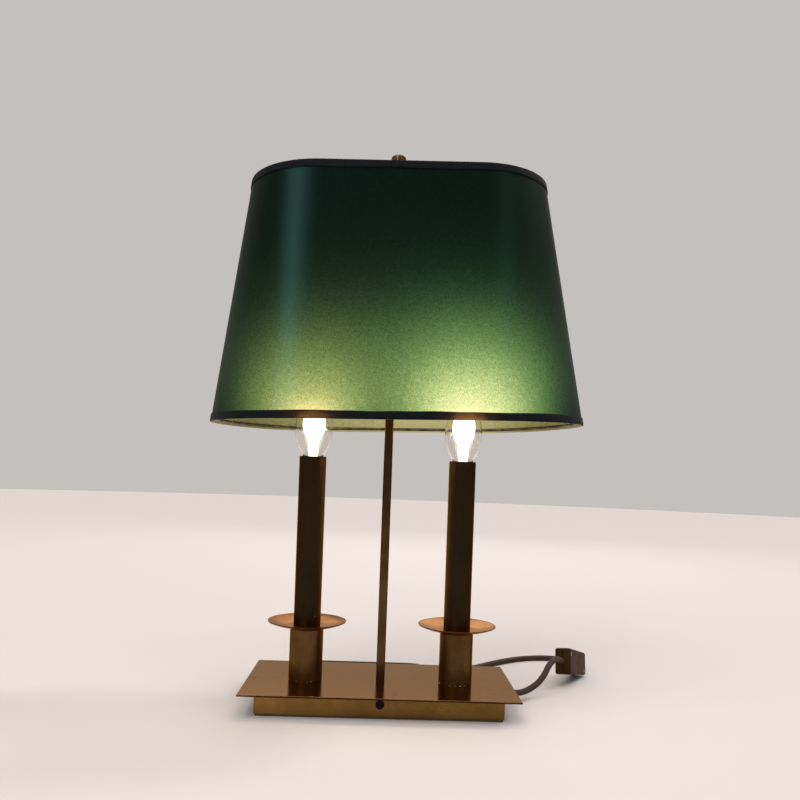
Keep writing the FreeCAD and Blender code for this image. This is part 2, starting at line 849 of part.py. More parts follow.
def cord_grommet():
    """The bush in the tray's right wall, with a short taper round the lead."""
    wall_inside = tray_length / 2 - tray_sheet
    wall_outside = tray_length / 2
    tip = wall_outside + gland_outside
    start = wall_outside - gland_inside
    bush = rod(gland_body_radius, cord_axis(start), cord_axis(wall_outside + gland_flange))
    for face in (wall_outside, wall_inside - gland_flange):
        bush = bush.fuse(rod(gland_flange_radius, cord_axis(face), cord_axis(face + gland_flange)))
    nose = Part.makeCone(
        gland_body_radius, gland_tip_radius, gland_outside - gland_flange,
        cord_axis(wall_outside + gland_flange), Vector(1, 0, 0))
    bush = bush.fuse(nose)
    return bush.cut(rod(cord_radius + cord_clearance, cord_axis(start), cord_axis(tip)))


def clamp_span():
    """Where the cord clamp starts and ends along X."""
    end = tray_length / 2 - clamp_from_wall
    return end - clamp_length, end


def clamp_screw_points():
    """The two clamp screws, one each side of the lead."""
    start, end = clamp_span()
    across = (clamp_depth / 2 + cord_radius) / 2
    return [Vector((start + end) / 2, cord_exit_y + side * across, 0) for side in (-1, 1)]


def cord_clamp():
    """The two-part clamp that holds the lead inside the tray."""
    start, end = clamp_span()
    top = cord_exit_height + clamp_top_above_cord
    halves = []
    for z_from, z_to in ((tray_floor, cord_exit_height), (cord_exit_height, top)):
        half = block(start, end, cord_exit_y - clamp_depth / 2, cord_exit_y + clamp_depth / 2, z_from, z_to)
        half = half.cut(rod(cord_radius + cord_clearance, cord_axis(start), cord_axis(end)))
        for point in clamp_screw_points():
            half = half.cut(upright(clamp_screw_radius + bolt_clearance, z_from, z_to, point.x, point.y))
        halves.append(half)
    return Part.makeCompound(halves)


def clamp_screws():
    """The screws of the cord clamp."""
    top = cord_exit_height + clamp_top_above_cord
    return Part.makeCompound([
        slotted_screw(
            Vector(point.x, point.y, top), Vector(0, 0, 1), top - tray_floor - bolt_clearance,
            clamp_screw_head_radius, clamp_screw_head_height, clamp_screw_radius)
        for point in clamp_screw_points()
    ])


def terminal_block():
    """The terminal block on the tray's floor, where the lead meets the lamp wires."""
    x_from = terminal_x - terminal_length / 2
    x_to = terminal_x + terminal_length / 2
    y_from = terminal_y - terminal_depth / 2
    y_to = terminal_y + terminal_depth / 2
    top = tray_floor + terminal_height
    body = block(x_from, x_to, y_from, y_to, tray_floor, top)
    ways = 4
    pitch = terminal_depth / ways
    for way in range(ways):
        y = y_from + (way + 0.5) * pitch
        for x in (terminal_x - terminal_length / 4, terminal_x + terminal_length / 4):
            body = body.cut(upright(pitch / 4, top - terminal_height / 4, top, x, y))
    for way in range(1, ways):
        y = y_from + way * pitch
        body = body.cut(block(x_from, x_to, y - pitch / 10, y + pitch / 10, top - terminal_height / 6, top))
    return body


def cord_inner():
    """The lead inside the tray: its sheath as far as the gland's tip, and its two bared wires."""
    block_end = terminal_x + terminal_length / 2
    sheath_end = block_end + sheath_to_terminal
    pieces = [rod(cord_radius, cord_axis(sheath_end), cord_axis(tray_length / 2 + gland_outside))]
    for side in (-1, 1):
        shift = Vector(0, side * wire_spacing / 2, 0)
        pieces.append(rod(wire_radius, cord_axis(block_end) + shift, cord_axis(sheath_end) + shift))
    return Part.makeCompound(pieces)


# Inline switch

def switch_directions():
    """The switch's long axis, and its own upward direction."""
    heading = math.radians(switch_heading_deg)
    dip = math.radians(switch_dip_deg)
    roll = math.radians(switch_roll_deg)
    along = Vector(math.sin(heading) * math.cos(dip), math.cos(heading) * math.cos(dip), -math.sin(dip))
    upright = Vector(math.sin(heading) * math.sin(dip), math.cos(heading) * math.sin(dip), math.cos(dip))
    upward = upright * math.cos(roll) + upright.cross(along) * math.sin(roll)
    return along, upward


def switch_point(x, y=0.0, z=0.0):
    """A point given in the switch's own length, thickness and height."""
    along, upward = switch_directions()
    return switch_near_end + along * x + upward.cross(along) * y + upward * z


def placed_on_switch(shape):
    """A shape drawn along the axes, moved to where the switch lies."""
    along, upward = switch_directions()
    turn = Rotation(along, upward.cross(along), upward, "XYZ")
    shape.Placement = Placement(switch_near_end, turn).multiply(shape.Placement)
    return shape


def switch_half(side):
    """One moulded half of the switch: side is 1 for the half with the rocker."""
    near = switch_height / 2
    far = switch_tail_height / 2
    outline = [
        (0, near - switch_end_drop), (switch_corner_radius, near),
        (switch_length - switch_corner_radius, far), (switch_length, far - switch_end_drop)]
    points = [Vector(x, 0, z) for x, z in outline] + [Vector(x, 0, -z) for x, z in reversed(outline)]
    face = Part.Face(Part.makePolygon(points + [points[0]]))
    outer_y = side * switch_thickness / 2
    half = face.extrude(Vector(0, outer_y, 0))
    broad = [edge for edge in half.Edges if abs(edge.CenterOfMass.y - outer_y) < 1e-6]
    half = half.makeFillet(switch_edge_radius, broad)
    parting = [edge for edge in half.Edges if abs(edge.CenterOfMass.y) < 1e-6 and edge.Length > 1.0]
    half = half.makeChamfer(switch_seam_chamfer, parting)
    cavity_y = side * (switch_thickness / 2 - switch_wall)
    cavity_z = far - switch_wall
    half = half.cut(block(
        switch_end_solid, switch_length - switch_end_solid,
        min(0, cavity_y), max(0, cavity_y), -cavity_z, cavity_z))
    if side > 0:
        half = with_rocker_well(half)
    for start, end in ((-1, switch_cord_depth), (switch_length - switch_cord_depth, switch_length + 1)):
        half = half.cut(rod(cord_radius + cord_clearance, Vector(start, 0, 0), Vector(end, 0, 0)))
    for x, z in switch_screw_places():
        seat = Vector(x, switch_screw_seat(), z)
        if side < 0:
            outside = Vector(x, -switch_thickness, z)
            half = half.cut(rod(switch_screw_head_radius + bolt_clearance, outside, seat))
            half = half.cut(rod(switch_screw_radius + bolt_clearance, seat, Vector(x, 1, z)))
        else:
            bore = rod(switch_screw_radius + turn_clearance, seat, Vector(x, switch_screw_reach(), z))
            half = half.cut(bore)
    return placed_on_switch(half)


def switch_screw_places():
    """The two screws, at opposite corners in the solid ends."""
    inset = switch_end_solid - switch_screw_head_radius
    return [(inset, switch_screw_z), (switch_length - inset, -switch_screw_z)]


def switch_screw_seat():
    """The seat of a switch screw's head, sunk into the plain half."""
    return -switch_thickness / 2 + switch_screw_head_height + joint_gap


def switch_screw_reach():
    """How far a switch screw goes into the half with the rocker."""
    return switch_thickness / 2 - switch_wall


def rocker_pivot_y():
    """The rocker's pivot, measured from the parting plane."""
    return switch_thickness / 2 - rocker_pivot_below_face


def rocker_window():
    """Half the length and width of the rocker's window."""
    tilt = math.radians(rocker_tilt_deg)
    crown = rocker_pivot_below_face + rocker_rise
    half_length = rocker_length / 2 * math.cos(tilt) + crown * math.sin(tilt) + rocker_side_gap
    return half_length, rocker_width / 2 + rocker_side_gap


def with_rocker_well(half):
    """Cut the rocker's window and add the two cheeks that carry its pin."""
    middle = switch_length / 2
    half_length, half_width = rocker_window()
    inner_face = switch_thickness / 2 - switch_wall
    start = middle - half_length
    end = middle + half_length
    half = half.cut(block(start, end, inner_face - 1, switch_thickness, -half_width, half_width))
    for side in (-1, 1):
        z_near = side * half_width
        z_far = side * (half_width + rocker_well_wall)
        half = half.fuse(block(
            start, end, rocker_pivot_y() - rocker_foot_depth, inner_face,
            min(z_near, z_far), max(z_near, z_far)))
    reach = half_width + rocker_well_wall
    return half.cut(rod(
        rocker_pin_radius + turn_clearance,
        Vector(middle, rocker_pivot_y(), -reach), Vector(middle, rocker_pivot_y(), reach)))


def switch_rocker():
    """The rocker, pressed down at its near end."""
    middle = switch_length / 2
    crown = rocker_pivot_below_face + rocker_rise
    half = rocker_length / 2
    foot = rocker_foot_width / 2
    shoulder = rocker_pivot_below_face - switch_wall
    dip = 1.0
    outline = [
        (-half, crown), (0, crown - dip), (half, crown), (half, shoulder), (foot, -rocker_foot_depth + 1),
        (foot - 1, -rocker_foot_depth + 0.3), (1 - foot, -rocker_foot_depth + 0.3),
        (-foot, -rocker_foot_depth + 1), (-half, shoulder)]
    points = [Vector(x, y, -rocker_width / 2) for x, y in outline]
    rocker = Part.Face(Part.makePolygon(points + [points[0]])).extrude(Vector(0, 0, rocker_width))
    rocker = rocker.cut(rod(
        rocker_pin_radius + turn_clearance, Vector(0, 0, -rocker_width), Vector(0, 0, rocker_width)))
    rocker.rotate(Vector(), Vector(0, 0, 1), rocker_tilt_deg)
    rocker.translate(Vector(middle, rocker_pivot_y(), 0))
    return placed_on_switch(rocker)


def rocker_pin():
    """The rocker's pin, carried by the cheeks of the window."""
    middle = Vector(switch_length / 2, rocker_pivot_y(), 0)
    reach = Vector(0, 0, rocker_window()[1] + rocker_well_wall)
    return placed_on_switch(rod(rocker_pin_radius, middle - reach, middle + reach))


def switch_screws():
    """The two screws that hold the switch's halves together."""
    screws = []
    seat = switch_screw_seat()
    for x, z in switch_screw_places():
        screws.append(slotted_screw(
            Vector(x, seat, z), Vector(0, -1, 0), switch_screw_reach() - seat - bolt_clearance,
            switch_screw_head_radius, switch_screw_head_height, switch_screw_radius))
    return placed_on_switch(Part.makeCompound(screws))


def switch_contacts():
    """The two contact blocks on the floor of the plain half."""
    floor_y = -(switch_thickness / 2 - switch_wall)
    half = switch_contact_size / 2
    inset = switch_end_solid + switch_contact_size
    blocks = []
    for x in (inset, switch_length - inset):
        blocks.append(block(x - half, x + half, floor_y, floor_y + switch_contact_depth, -half, half))
    return placed_on_switch(Part.makeCompound(blocks))


# The lead outside the tray

def lead_route():
    """The lead from the gland, rising in an arch to the near end of the switch."""
    return [
        cord_axis(tray_length / 2 + gland_outside),
        cord_axis(tray_length / 2 + gland_outside + lead_straight),
        Vector(137.5, 17.2, 7.9),
        Vector(152.4, 24.4, 13.8),
        Vector(161.6, 30.9, 22.1),
        Vector(168.8, 41.9, 30.8),
        Vector(178.6, 55.6, 33.4),
        switch_point(-5.5),
        switch_point(switch_cord_depth)]


def tail_route():
    """The lead from the far end of the switch, round behind the base to the hank."""
    floor = cord_radius + floor_clearance
    return [
        switch_point(switch_length - switch_cord_depth),
        switch_point(switch_length + 11.0),
        Vector(231.6, 149.0, 5.4),
        Vector(233.6, 163.6, floor + 0.1),
        Vector(226.6, 176.6, floor),
        Vector(213.6, 184.4, floor),
        Vector(198.0, 187.0, floor),
        Vector(182.0, 185.0, floor),
        Vector(166.4, 179.4, floor),
        Vector(151.4, 170.6, floor),
        Vector(137.0, 159.4, floor),
        Vector(123.0, 146.6, floor),
        Vector(108.4, 132.6, floor),
        Vector(93.0, 119.4, floor + 0.2),
        Vector(77.0, 109.6, floor + 0.5),
        Vector(61.0, 104.6, floor + tie_thickness),
        Vector(45.0, 102.4, floor + tie_thickness)]


def hank_size():
    """The hank's outer bend radius, its front edge and the middle between its legs."""
    outer_bend = hank_inner_bend + (hank_rings - 1) * hank_pitch + cord_radius
    front = tray_depth / 2 + hank_gap_to_tray
    return outer_bend, front, front + outer_bend


def hank_layers_height():
    """The thickness of the hank's stacked layers."""
    return 2 * cord_radius + (hank_layers - 1) * hank_pitch


def flat_oval(run, bend, z_from, z_to):
    """A flat slab with round ends."""
    slab = Part.Face(oval_wire(run, bend, z_from)).extrude(Vector(0, 0, z_to - z_from))
    slab.translate(Vector(hank_centre_x, hank_size()[2], 0))
    return slab


def cord_hank():
    """The hank: turns of the lead laid beside and on each other in a flat oval."""
    outer_bend = hank_size()[0]
    bottom = tie_thickness + 2 * floor_clearance
    top = bottom + hank_layers_height()
    hank = flat_oval(hank_run, outer_bend, bottom, top)
    hank = hank.makeFillet(0.8 * cord_radius, hank.Edges)
    inner_bend = hank_inner_bend - cord_radius
    return hank.cut(flat_oval(hank_run, inner_bend, bottom - 1, top + 1))


def hank_tie():
    """The band round the front leg of the hank."""
    front = hank_size()[1]
    leg = 2 * cord_radius + (hank_rings - 1) * hank_pitch
    bottom = tie_thickness + 2 * floor_clearance
    top = bottom + hank_layers_height()

    def loop(margin):
        return block(
            hank_centre_x - tie_width / 2, hank_centre_x + tie_width / 2,
            front - margin, front + leg + margin, bottom - margin, top + margin)
    outer = loop(tie_clearance / 2 + tie_thickness)
    inner = loop(tie_clearance / 2)
    long_edges = [edge for edge in outer.Edges if abs(edge.CenterOfMass.x - hank_centre_x) < 1e-6]
    outer = outer.makeFillet(1.5, long_edges)
    tie = outer.cut(inner)
    tie.translate(Vector(0, 0, tie_clearance / 2))
    return tie


def cord_end_route():
    """The last of the lead, from the hank into the plug."""
    plug_z = plug_middle_height()
    return [
        Vector(50.6, 63.0, plug_z + 1.0),
        Vector(57.2, 65.1, plug_z + 0.9),
        Vector(63.6, 67.6, plug_z + 0.4),
        Vector(70.2, plug_centre_y, plug_z),
        Vector(plug_back_x, plug_centre_y, plug_z)]


def plug_middle_height():
    """The height of the plug's middle plane, where it lies on the table."""
    return plug_thickness / 2 + floor_clearance


def plug_body():
    """The flat moulded plug."""
    half = plug_width / 2
    neck = plug_neck_width / 2
    front_x = plug_back_x + plug_length
    outline = [
        (plug_back_x, -neck), (plug_back_x + plug_neck_length, -neck),
        (plug_back_x + plug_shoulder, -half), (front_x, -half)]
    points = [Vector(x, plug_centre_y + y, floor_clearance) for x, y in outline]
    points += [Vector(x, plug_centre_y - y, floor_clearance) for x, y in reversed(outline)]
    body = Part.Face(Part.makePolygon(points + [points[0]])).extrude(Vector(0, 0, plug_thickness))
    body = body.makeFillet(plug_edge_radius, body.Edges)
    for y in plug_pin_places():
        root = Vector(front_x - plug_pin_root, y, plug_middle_height())
        body = body.cut(rod(plug_pin_radius + turn_clearance, root, root + Vector(2 * plug_pin_root, 0, 0)))
    return body


def plug_pin_places():
    """Where the two pins stand along Y."""
    return plug_centre_y - plug_pin_spacing / 2, plug_centre_y + plug_pin_spacing / 2


def plug_pins():
    """The plug's two round pins."""
    front_x = plug_back_x + plug_length
    pins = []
    for y in plug_pin_places():
        root = Vector(front_x - plug_pin_root, y, plug_middle_height())
        end = root + Vector(plug_pin_root + plug_pin_length, 0, 0)
        pin = rod(plug_pin_radius, root, end)
        tip = [edge for edge in pin.Edges if abs(edge.CenterOfMass.x - end.x) < 1e-6]
        pins.append(pin.makeFillet(0.7 * plug_pin_radius, tip))
    return Part.makeCompound(pins)


save(base_plate(), "base_plate")
save(base_tray(), "base_tray")
save(base_felt(), "base_felt")
save(ballast_plate(), "ballast_plate")
save(ballast_screws(), "ballast_screws")
save(tray_lugs(), "tray_lugs")
save(tray_screws(), "tray_screws")
save(stem(), "stem")
save(stem_nut(), "stem_nut")
save(finial(), "finial")
for side_name, candle_x in candle_sides.items():
    save(cup(candle_x), side_name + "_cup")
    save(drip_pan(candle_x), side_name + "_drip_pan")
    save(candle_tube(candle_x), side_name + "_candle_tube")
    save(nipple(candle_x), side_name + "_nipple")
    save(lampholder(candle_x), side_name + "_lampholder")
    save(holder_shell(candle_x), side_name + "_holder_shell")
    save(bulb_cap(candle_x), side_name + "_bulb_cap")
    save(bulb_glass(candle_x), side_name + "_bulb_glass")
    save(bulb_mount(candle_x), side_name + "_bulb_mount")
    save(lamp_wires(candle_x), side_name + "_wires")
save(nipple_nuts(), "nipple_nuts")
save(plate_washers(), "plate_washers")
save(holder_contacts(), "holder_contacts")
save(shade_skin(), "shade_skin")
save(shade_ribbon(shade_top_height - ribbon_height, shade_top_height), "shade_ribbon_top")
save(shade_ribbon(shade_bottom_height, shade_bottom_height + ribbon_height), "shade_ribbon_bottom")
save(shade_spider(), "shade_spider")
save(shade_bottom_ring(), "shade_bottom_ring")
save(shade_hub(), "shade_hub")
save(hub_ring_nut(), "hub_ring_nut")
save(shade_lock_screw(), "shade_lock_screw")
save(cord_grommet(), "cord_grommet")
save(cord_clamp(), "cord_clamp")
save(clamp_screws(), "clamp_screws")
save(terminal_block(), "terminal_block")
save(cord_inner(), "cord_inner")
save(tube_along(lead_route(), cord_radius, "cord_lead"), "cord_lead")
save(switch_half(1), "switch_rocker_half")
save(switch_half(-1), "switch_plain_half")
save(switch_rocker(), "switch_rocker")
save(rocker_pin(), "rocker_pin")
save(switch_screws(), "switch_screws")
save(switch_contacts(), "switch_contacts")
save(tube_along(tail_route(), cord_radius, "cord_tail"), "cord_tail")
save(cord_hank(), "cord_hank")
save(hank_tie(), "hank_tie")
save(tube_along(cord_end_route(), cord_radius, "cord_end"), "cord_end")
save(plug_body(), "plug_body")
save(plug_pins(), "plug_pins")
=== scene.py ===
import math
import random

import bmesh
import bpy
from mathutils import Matrix, Vector


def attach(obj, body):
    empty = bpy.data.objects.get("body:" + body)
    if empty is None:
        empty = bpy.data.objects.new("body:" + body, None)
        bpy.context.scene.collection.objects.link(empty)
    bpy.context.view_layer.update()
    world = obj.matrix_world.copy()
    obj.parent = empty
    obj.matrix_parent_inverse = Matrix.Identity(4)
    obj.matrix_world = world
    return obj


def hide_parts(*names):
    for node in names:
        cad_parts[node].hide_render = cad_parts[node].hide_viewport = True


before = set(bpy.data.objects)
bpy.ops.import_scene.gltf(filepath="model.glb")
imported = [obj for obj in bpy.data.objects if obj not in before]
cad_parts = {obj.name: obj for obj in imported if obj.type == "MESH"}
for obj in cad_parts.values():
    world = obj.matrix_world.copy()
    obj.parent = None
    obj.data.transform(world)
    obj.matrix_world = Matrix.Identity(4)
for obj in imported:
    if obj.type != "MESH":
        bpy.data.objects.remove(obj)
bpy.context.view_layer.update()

MM = 0.001

# Sizes of the lamp, in millimetres, as its source has them

FLAT_LENGTH = 138.0
BOTTOM_DEPTH = 206.0
TOP_DEPTH = 135.0
SHADE_BOTTOM = 259.0
SHADE_TOP = 482.0
PAPER = 1.0
RIBBON_HEIGHT = 7.0
CANDLE_X = 70.2
CUP_RADIUS = 15.5
PLATE_TOP = 21.7
CORD_RADIUS = 3.0

# The shade sits a little askew on its carrier

CARRIER_HEIGHT = 475.0
TILT_SIDEWAYS = math.radians(1.448)
TILT_BACK = math.radians(0.307)
SHADE_SHIFT = 2.09
UNSHIFTED_RADIUS = 15.0
SHIFT_GROWS_OVER = 30.0
TIP_LIFT = 2.0

# Camera

CAMERA_PLACE = (-0.00724, -0.7187, 0.2137)
CAMERA_YAW = math.radians(-1.629)
CAMERA_PITCH = math.radians(0.139)
CAMERA_ROLL = math.radians(2.061)
CAMERA_LENS = 34.468
CAMERA_SHIFT = (-0.00206, 0.0919)


def place_camera():
    """The camera stands where the photograph was taken from."""
    yaw, pitch, roll = CAMERA_YAW, CAMERA_PITCH, CAMERA_ROLL
    level = math.cos(pitch)
    forward = Vector((-math.sin(yaw) * level, math.cos(yaw) * level, math.sin(pitch)))
    level_right = Vector((math.cos(yaw), math.sin(yaw), 0.0))
    level_up = level_right.cross(forward)
    right = level_right * math.cos(roll) + level_up * math.sin(roll)
    up = level_up * math.cos(roll) - level_right * math.sin(roll)
    data = bpy.data.cameras.new("camera")
    data.sensor_width = 36.0
    data.lens = CAMERA_LENS
    data.shift_x, data.shift_y = CAMERA_SHIFT
    data.clip_start = 0.01
    camera = bpy.data.objects.new("camera", data)
    bpy.context.scene.collection.objects.link(camera)
    turn = Matrix((right, up, -forward)).transposed().to_4x4()
    camera.matrix_world = Matrix.Translation(CAMERA_PLACE) @ turn
    bpy.context.scene.camera = camera


# Cords

SWITCH_NEAR_END = Vector((189.6, 73.2, 26.7))
SWITCH_ALONG = Vector((0.4916, 0.8380, -0.2368))
SWITCH_LENGTH = 62.0
SWITCH_CORD_DEPTH = 5.0


def switch_point(x):
    """A point on the switch's long axis, x from its near end."""
    return tuple(SWITCH_NEAR_END + SWITCH_ALONG * x)


LEAD_ROUTE = [
    (117.0, 12.5, 9.5),
    (125.0, 12.5, 9.5),
    (137.5, 17.2, 7.9),
    (152.4, 24.4, 13.8),
    (161.6, 30.9, 22.1),
    (168.8, 41.9, 30.8),
    (178.6, 55.6, 33.4),
    switch_point(-5.5),
    switch_point(SWITCH_CORD_DEPTH)]

TAIL_ROUTE = [
    switch_point(SWITCH_LENGTH - SWITCH_CORD_DEPTH),
    switch_point(SWITCH_LENGTH + 11.0),
    (231.6, 149.0, 5.4),
    (233.6, 163.6, 3.15),
    (226.6, 176.6, 3.05),
    (213.6, 184.4, 3.05),
    (198.0, 187.0, 3.05),
    (182.0, 185.0, 3.05),
    (166.4, 179.4, 3.05),
    (151.4, 170.6, 3.05),
    (137.0, 159.4, 3.05),
    (123.0, 146.6, 3.05),
    (108.4, 132.6, 3.05),
    (93.0, 120.4, 3.25),
    (77.0, 112.8, 3.55),
    (61.0, 109.4, 3.85),
    (45.0, 108.7, 3.85)]
END_ROUTE = [
    (50.6, 62.6, 10.0),
    (57.2, 65.1, 9.4),
    (63.6, 67.6, 7.9),
    (70.2, 68.5, 7.05),
    (77.0, 68.5, 7.05)]

HANK_CENTRE = (-17.0, 78.5)
HANK_HALF_RUN = 46.5
HANK_RADII = (30.2, 24.1, 18.0)
HANK_HEIGHTS = (3.9, 10.0)
BEND_STEP = 36.0
BEND_STEPS = 5
RUN_END = 0.85
REAR_RUN = 90.0
FRONT_RUN = 270.0

# Where each turn crosses on its rear run, with the share of its step inward and of its climb made there
CROSSING = 0.2
INWARD = (0.5, 0.3, 0.5, 0.5)
UPWARD = 0.85


def hank_point(side, angle, radius, height):
    """A point of the hank's oval: side is -1 at the left bend and 1 at the right one."""
    on_bend = abs(side) == 1.0
    reach = radius / math.cos(math.radians(BEND_STEP / 2)) if on_bend else radius
    turn = math.radians(angle)
    return (
        HANK_CENTRE[0] + side * HANK_HALF_RUN + reach * math.cos(turn),
        HANK_CENTRE[1] + reach * math.sin(turn),
        height)


def hank_turns():
    """Four turns: two on the floor, winding in, and two on them, winding out."""
    outside, outer, inner = HANK_RADII
    low, high = HANK_HEIGHTS
    turns = [
        (outside, outer, outer, low, low),
        (outer, inner, inner, low, low),
        (inner, inner, outer, low, high),
        (outer, outer, outer, high, high)]
    points = []
    for number, (entry, middle, leave, from_height, to_height) in enumerate(turns):
        crossing_radius = entry + (middle - entry) * INWARD[number]
        crossing_height = from_height + (to_height - from_height) * UPWARD
        points.append(hank_point(RUN_END, REAR_RUN, entry, from_height))
        points.append(hank_point(CROSSING, REAR_RUN, crossing_radius, crossing_height))
        points.append(hank_point(-RUN_END, REAR_RUN, middle, to_height))
        for step in range(BEND_STEPS):
            angle = REAR_RUN + BEND_STEP * (step + 0.5)
            points.append(hank_point(-1.0, angle, middle, to_height))
        for side in (-RUN_END, RUN_END):
            points.append(hank_point(side, FRONT_RUN, middle, to_height))
        steps = 1 if number == len(turns) - 1 else BEND_STEPS
        for step in range(steps):
            share = (step + 0.5) / BEND_STEPS
            radius = middle + (leave - middle) * share
            angle = FRONT_RUN + BEND_STEP * (step + 0.5)
            points.append(hank_point(1.0, angle, radius, to_height))
    return points


def cord_curve(name, points):
    """A round cord on one smooth spline through the route given in millimetres."""
    data = bpy.data.curves.new(name, "CURVE")
    data.dimensions = "3D"
    # A bevel of 1 with the cord's radius on each point keeps the curve's own box right
    data.bevel_depth = 1.0
    data.bevel_resolution = 6
    data.resolution_u = 8
    data.use_fill_caps = True
    spline = data.splines.new("NURBS")
    spline.points.add(len(points) - 1)
    for point, place in zip(spline.points, points):
        point.co = (place[0] * MM, place[1] * MM, place[2] * MM, 1.0)
        point.radius = CORD_RADIUS * MM
    spline.order_u = 3
    spline.use_endpoint_u = True
    cord = bpy.data.objects.new(name, data)
    bpy.context.scene.collection.objects.link(cord)
    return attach(cord, "lamp")


# Material building blocks

def srgb(red, green, blue):
    """A colour written in screen values from 0 to 255."""
    def linear(value):
        share = value / 255
        return share / 12.92 if share <= 0.04045 else ((share + 0.055) / 1.055) ** 2.4
    return (linear(red), linear(green), linear(blue), 1.0)


class Look:
    """One procedural material, built round its Principled shader."""

    def __init__(self, name, **uniform):
        self.material = bpy.data.materials.new(name)
        self.material.use_nodes = True
        self.tree = self.material.node_tree
        self.shader = self.tree.nodes["Principled BSDF"]
        for key, value in uniform.items():
            self.set(key.replace("_", " "), value)
        self.place = self.node("ShaderNodeTexCoord").outputs["Object"]

    def set(self, name, value):
        """Gives one of the shader's sockets a value or a link."""
        self.put(self.shader.inputs[name], value)

    def put(self, socket, value):
        if isinstance(value, bpy.types.NodeSocket):
            self.tree.links.new(value, socket)
        else:
            socket.default_value = value

    def node(self, kind, settings=None, **inputs):
        node = self.tree.nodes.new(kind)
        for key, value in (settings or {}).items():
            setattr(node, key, value)
        for key, value in inputs.items():
            self.put(node.inputs[key.replace("_", " ")], value)
        return node

    def math(self, operation, first, second=0.0, third=0.0):
        node = self.node("ShaderNodeMath", {"operation": operation})
        for socket, value in zip(node.inputs, (first, second, third)):
            self.put(socket, value)
        return node.outputs[0]

    def stretched(self, scale, shift=(0.0, 0.0, 0.0)):
        """The object's own coordinates, scaled along each axis."""
        return self.node("ShaderNodeMapping", Vector=self.place, Scale=scale, Location=shift).outputs[0]

    def noise(self, size, stretch=(1.0, 1.0, 1.0), detail=3.0, roughness=0.55, shift=(0.0, 0.0, 0.0)):
        """Smooth noise from 0 to 1, with features of about size millimetres."""
        scale = tuple(1.0 / (size * MM * part) for part in stretch)
        return self.node(
            "ShaderNodeTexNoise", Vector=self.stretched(scale, shift), Scale=1.0, Detail=detail,
            Roughness=roughness).outputs[0]

    def levels(self, value, low, high, out_low=0.0, out_high=1.0):
        """Maps low-high to out_low-out_high, softly and clamped."""
        node = self.node("ShaderNodeMapRange", {"interpolation_type": "SMOOTHSTEP"}, Value=value)
        for key, amount in zip(("From Min", "From Max", "To Min", "To Max"), (low, high, out_low, out_high)):
            self.put(node.inputs[key], amount)
        return node.outputs[0]

    def ramp(self, value, stops):
        """A colour for each level: stops is a list of (level, colour)."""
        node = self.node("ShaderNodeValToRGB", Fac=value)
        elements = node.color_ramp.elements
        while len(elements) < len(stops):
            elements.new(0.5)
        for element, (level, colour) in zip(elements, stops):
            element.position = level
            element.color = colour
        return node.outputs[0]

    def mix(self, share, first, second, kind="MIX"):
        node = self.node("ShaderNodeMix", {"data_type": "RGBA", "blend_type": kind})
        for number, value in ((0, share), (6, first), (7, second)):
            self.put(node.inputs[number], value)
        return node.outputs[2]

    def axis(self, name):
        """One of the object's own coordinates, in millimetres."""
        parts = self.node("ShaderNodeSeparateXYZ", Vector=self.place)
        return self.math("MULTIPLY", parts.outputs[name], 1.0 / MM)

    def bump(self, height, depth, strength=1.0):
        """Fine relief: depth is in millimetres."""
        node = self.node("ShaderNodeBump", Height=height, Distance=depth * MM, Strength=strength)
        self.set("Normal", node.outputs[0])


# Brass

WARM_EDGE = srgb(220, 186, 146)
PALE_EDGE = srgb(246, 224, 200)
PAN_RADIUS = 36.3

# Where a tone changes on each piece, from its first to its last millimetre; most of these bands are painted
# shade or painted light
PLATE_EDGE = (PLATE_TOP - 0.3, PLATE_TOP - 0.1)
TRAY_PAINTED_SHADE = (-110.0, 30.0)
PAINTED_SHADOW_UNDER_PAN = (67.9, 68.4)
TUBE_LIGHT_TO_SHADE = (CANDLE_X - 11.8, CANDLE_X - 7.0)
PAN_RIM = (PAN_RADIUS - 0.9, PAN_RADIUS - 0.3)
LEFT_PAN_SHADE_END = (-CANDLE_X - 34.0, -CANDLE_X - 14.0)
LEFT_PAN_PAINTED_SHADE = (-20.0, 20.0)
STEM_PAINTED_SHADE = (90.0, 210.0)


def aged_brass(
        name, bright, dull, dark, gloss=(0.2, 0.36), grain=(1.0, 1.0, 1.0), tarnish=0.5,
        edge_tint=WARM_EDGE):
    """Brass with a mottled tarnish, rubbed streaks along the grain and fine dark specks."""
    look = Look(name, Metallic=1.0, Specular_Tint=edge_tint)
    clouds = look.noise(46.0, detail=5.0)
    blotches = look.noise(9.0, detail=4.0, shift=(3.0, 1.0, 7.0))
    streaks = look.noise(1.1, stretch=grain, detail=2.0, shift=(1.0, 5.0, 2.0))
    specks = look.levels(look.noise(1.5, detail=1.0, shift=(9.0, 4.0, 2.0)), 0.73, 0.79)
    aged = look.math("ADD", look.math("MULTIPLY", clouds, 0.65), look.math("MULTIPLY", blotches, 0.35))
    base = look.mix(look.levels(aged, 0.36, 0.62), dull, bright)
    rubbed = look.mix(look.math("MULTIPLY", look.levels(streaks, 0.3, 0.8), 0.28), base, bright)
    stained = look.mix(look.math("MULTIPLY", look.levels(blotches, 0.56, 0.74), tarnish), rubbed, dark)
    look.colour = look.mix(look.math("MULTIPLY", specks, 0.7), stained, dark)
    look.set("Base Color", look.colour)
    sheen = look.math("ADD", look.math("MULTIPLY", aged, 0.7), look.math("MULTIPLY", streaks, 0.3))
    look.set("Roughness", look.levels(sheen, 0.3, 0.7, gloss[1], gloss[0]))
    look.bump(look.math("SUBTRACT", streaks, specks), 0.02, 0.35)
    return look


def shaded(look, share, tone):
    """Darkens or warms the metal by tone where share is 1."""
    look.colour = look.mix(share, look.colour, tone, "MULTIPLY")
    look.set("Base Color", look.colour)


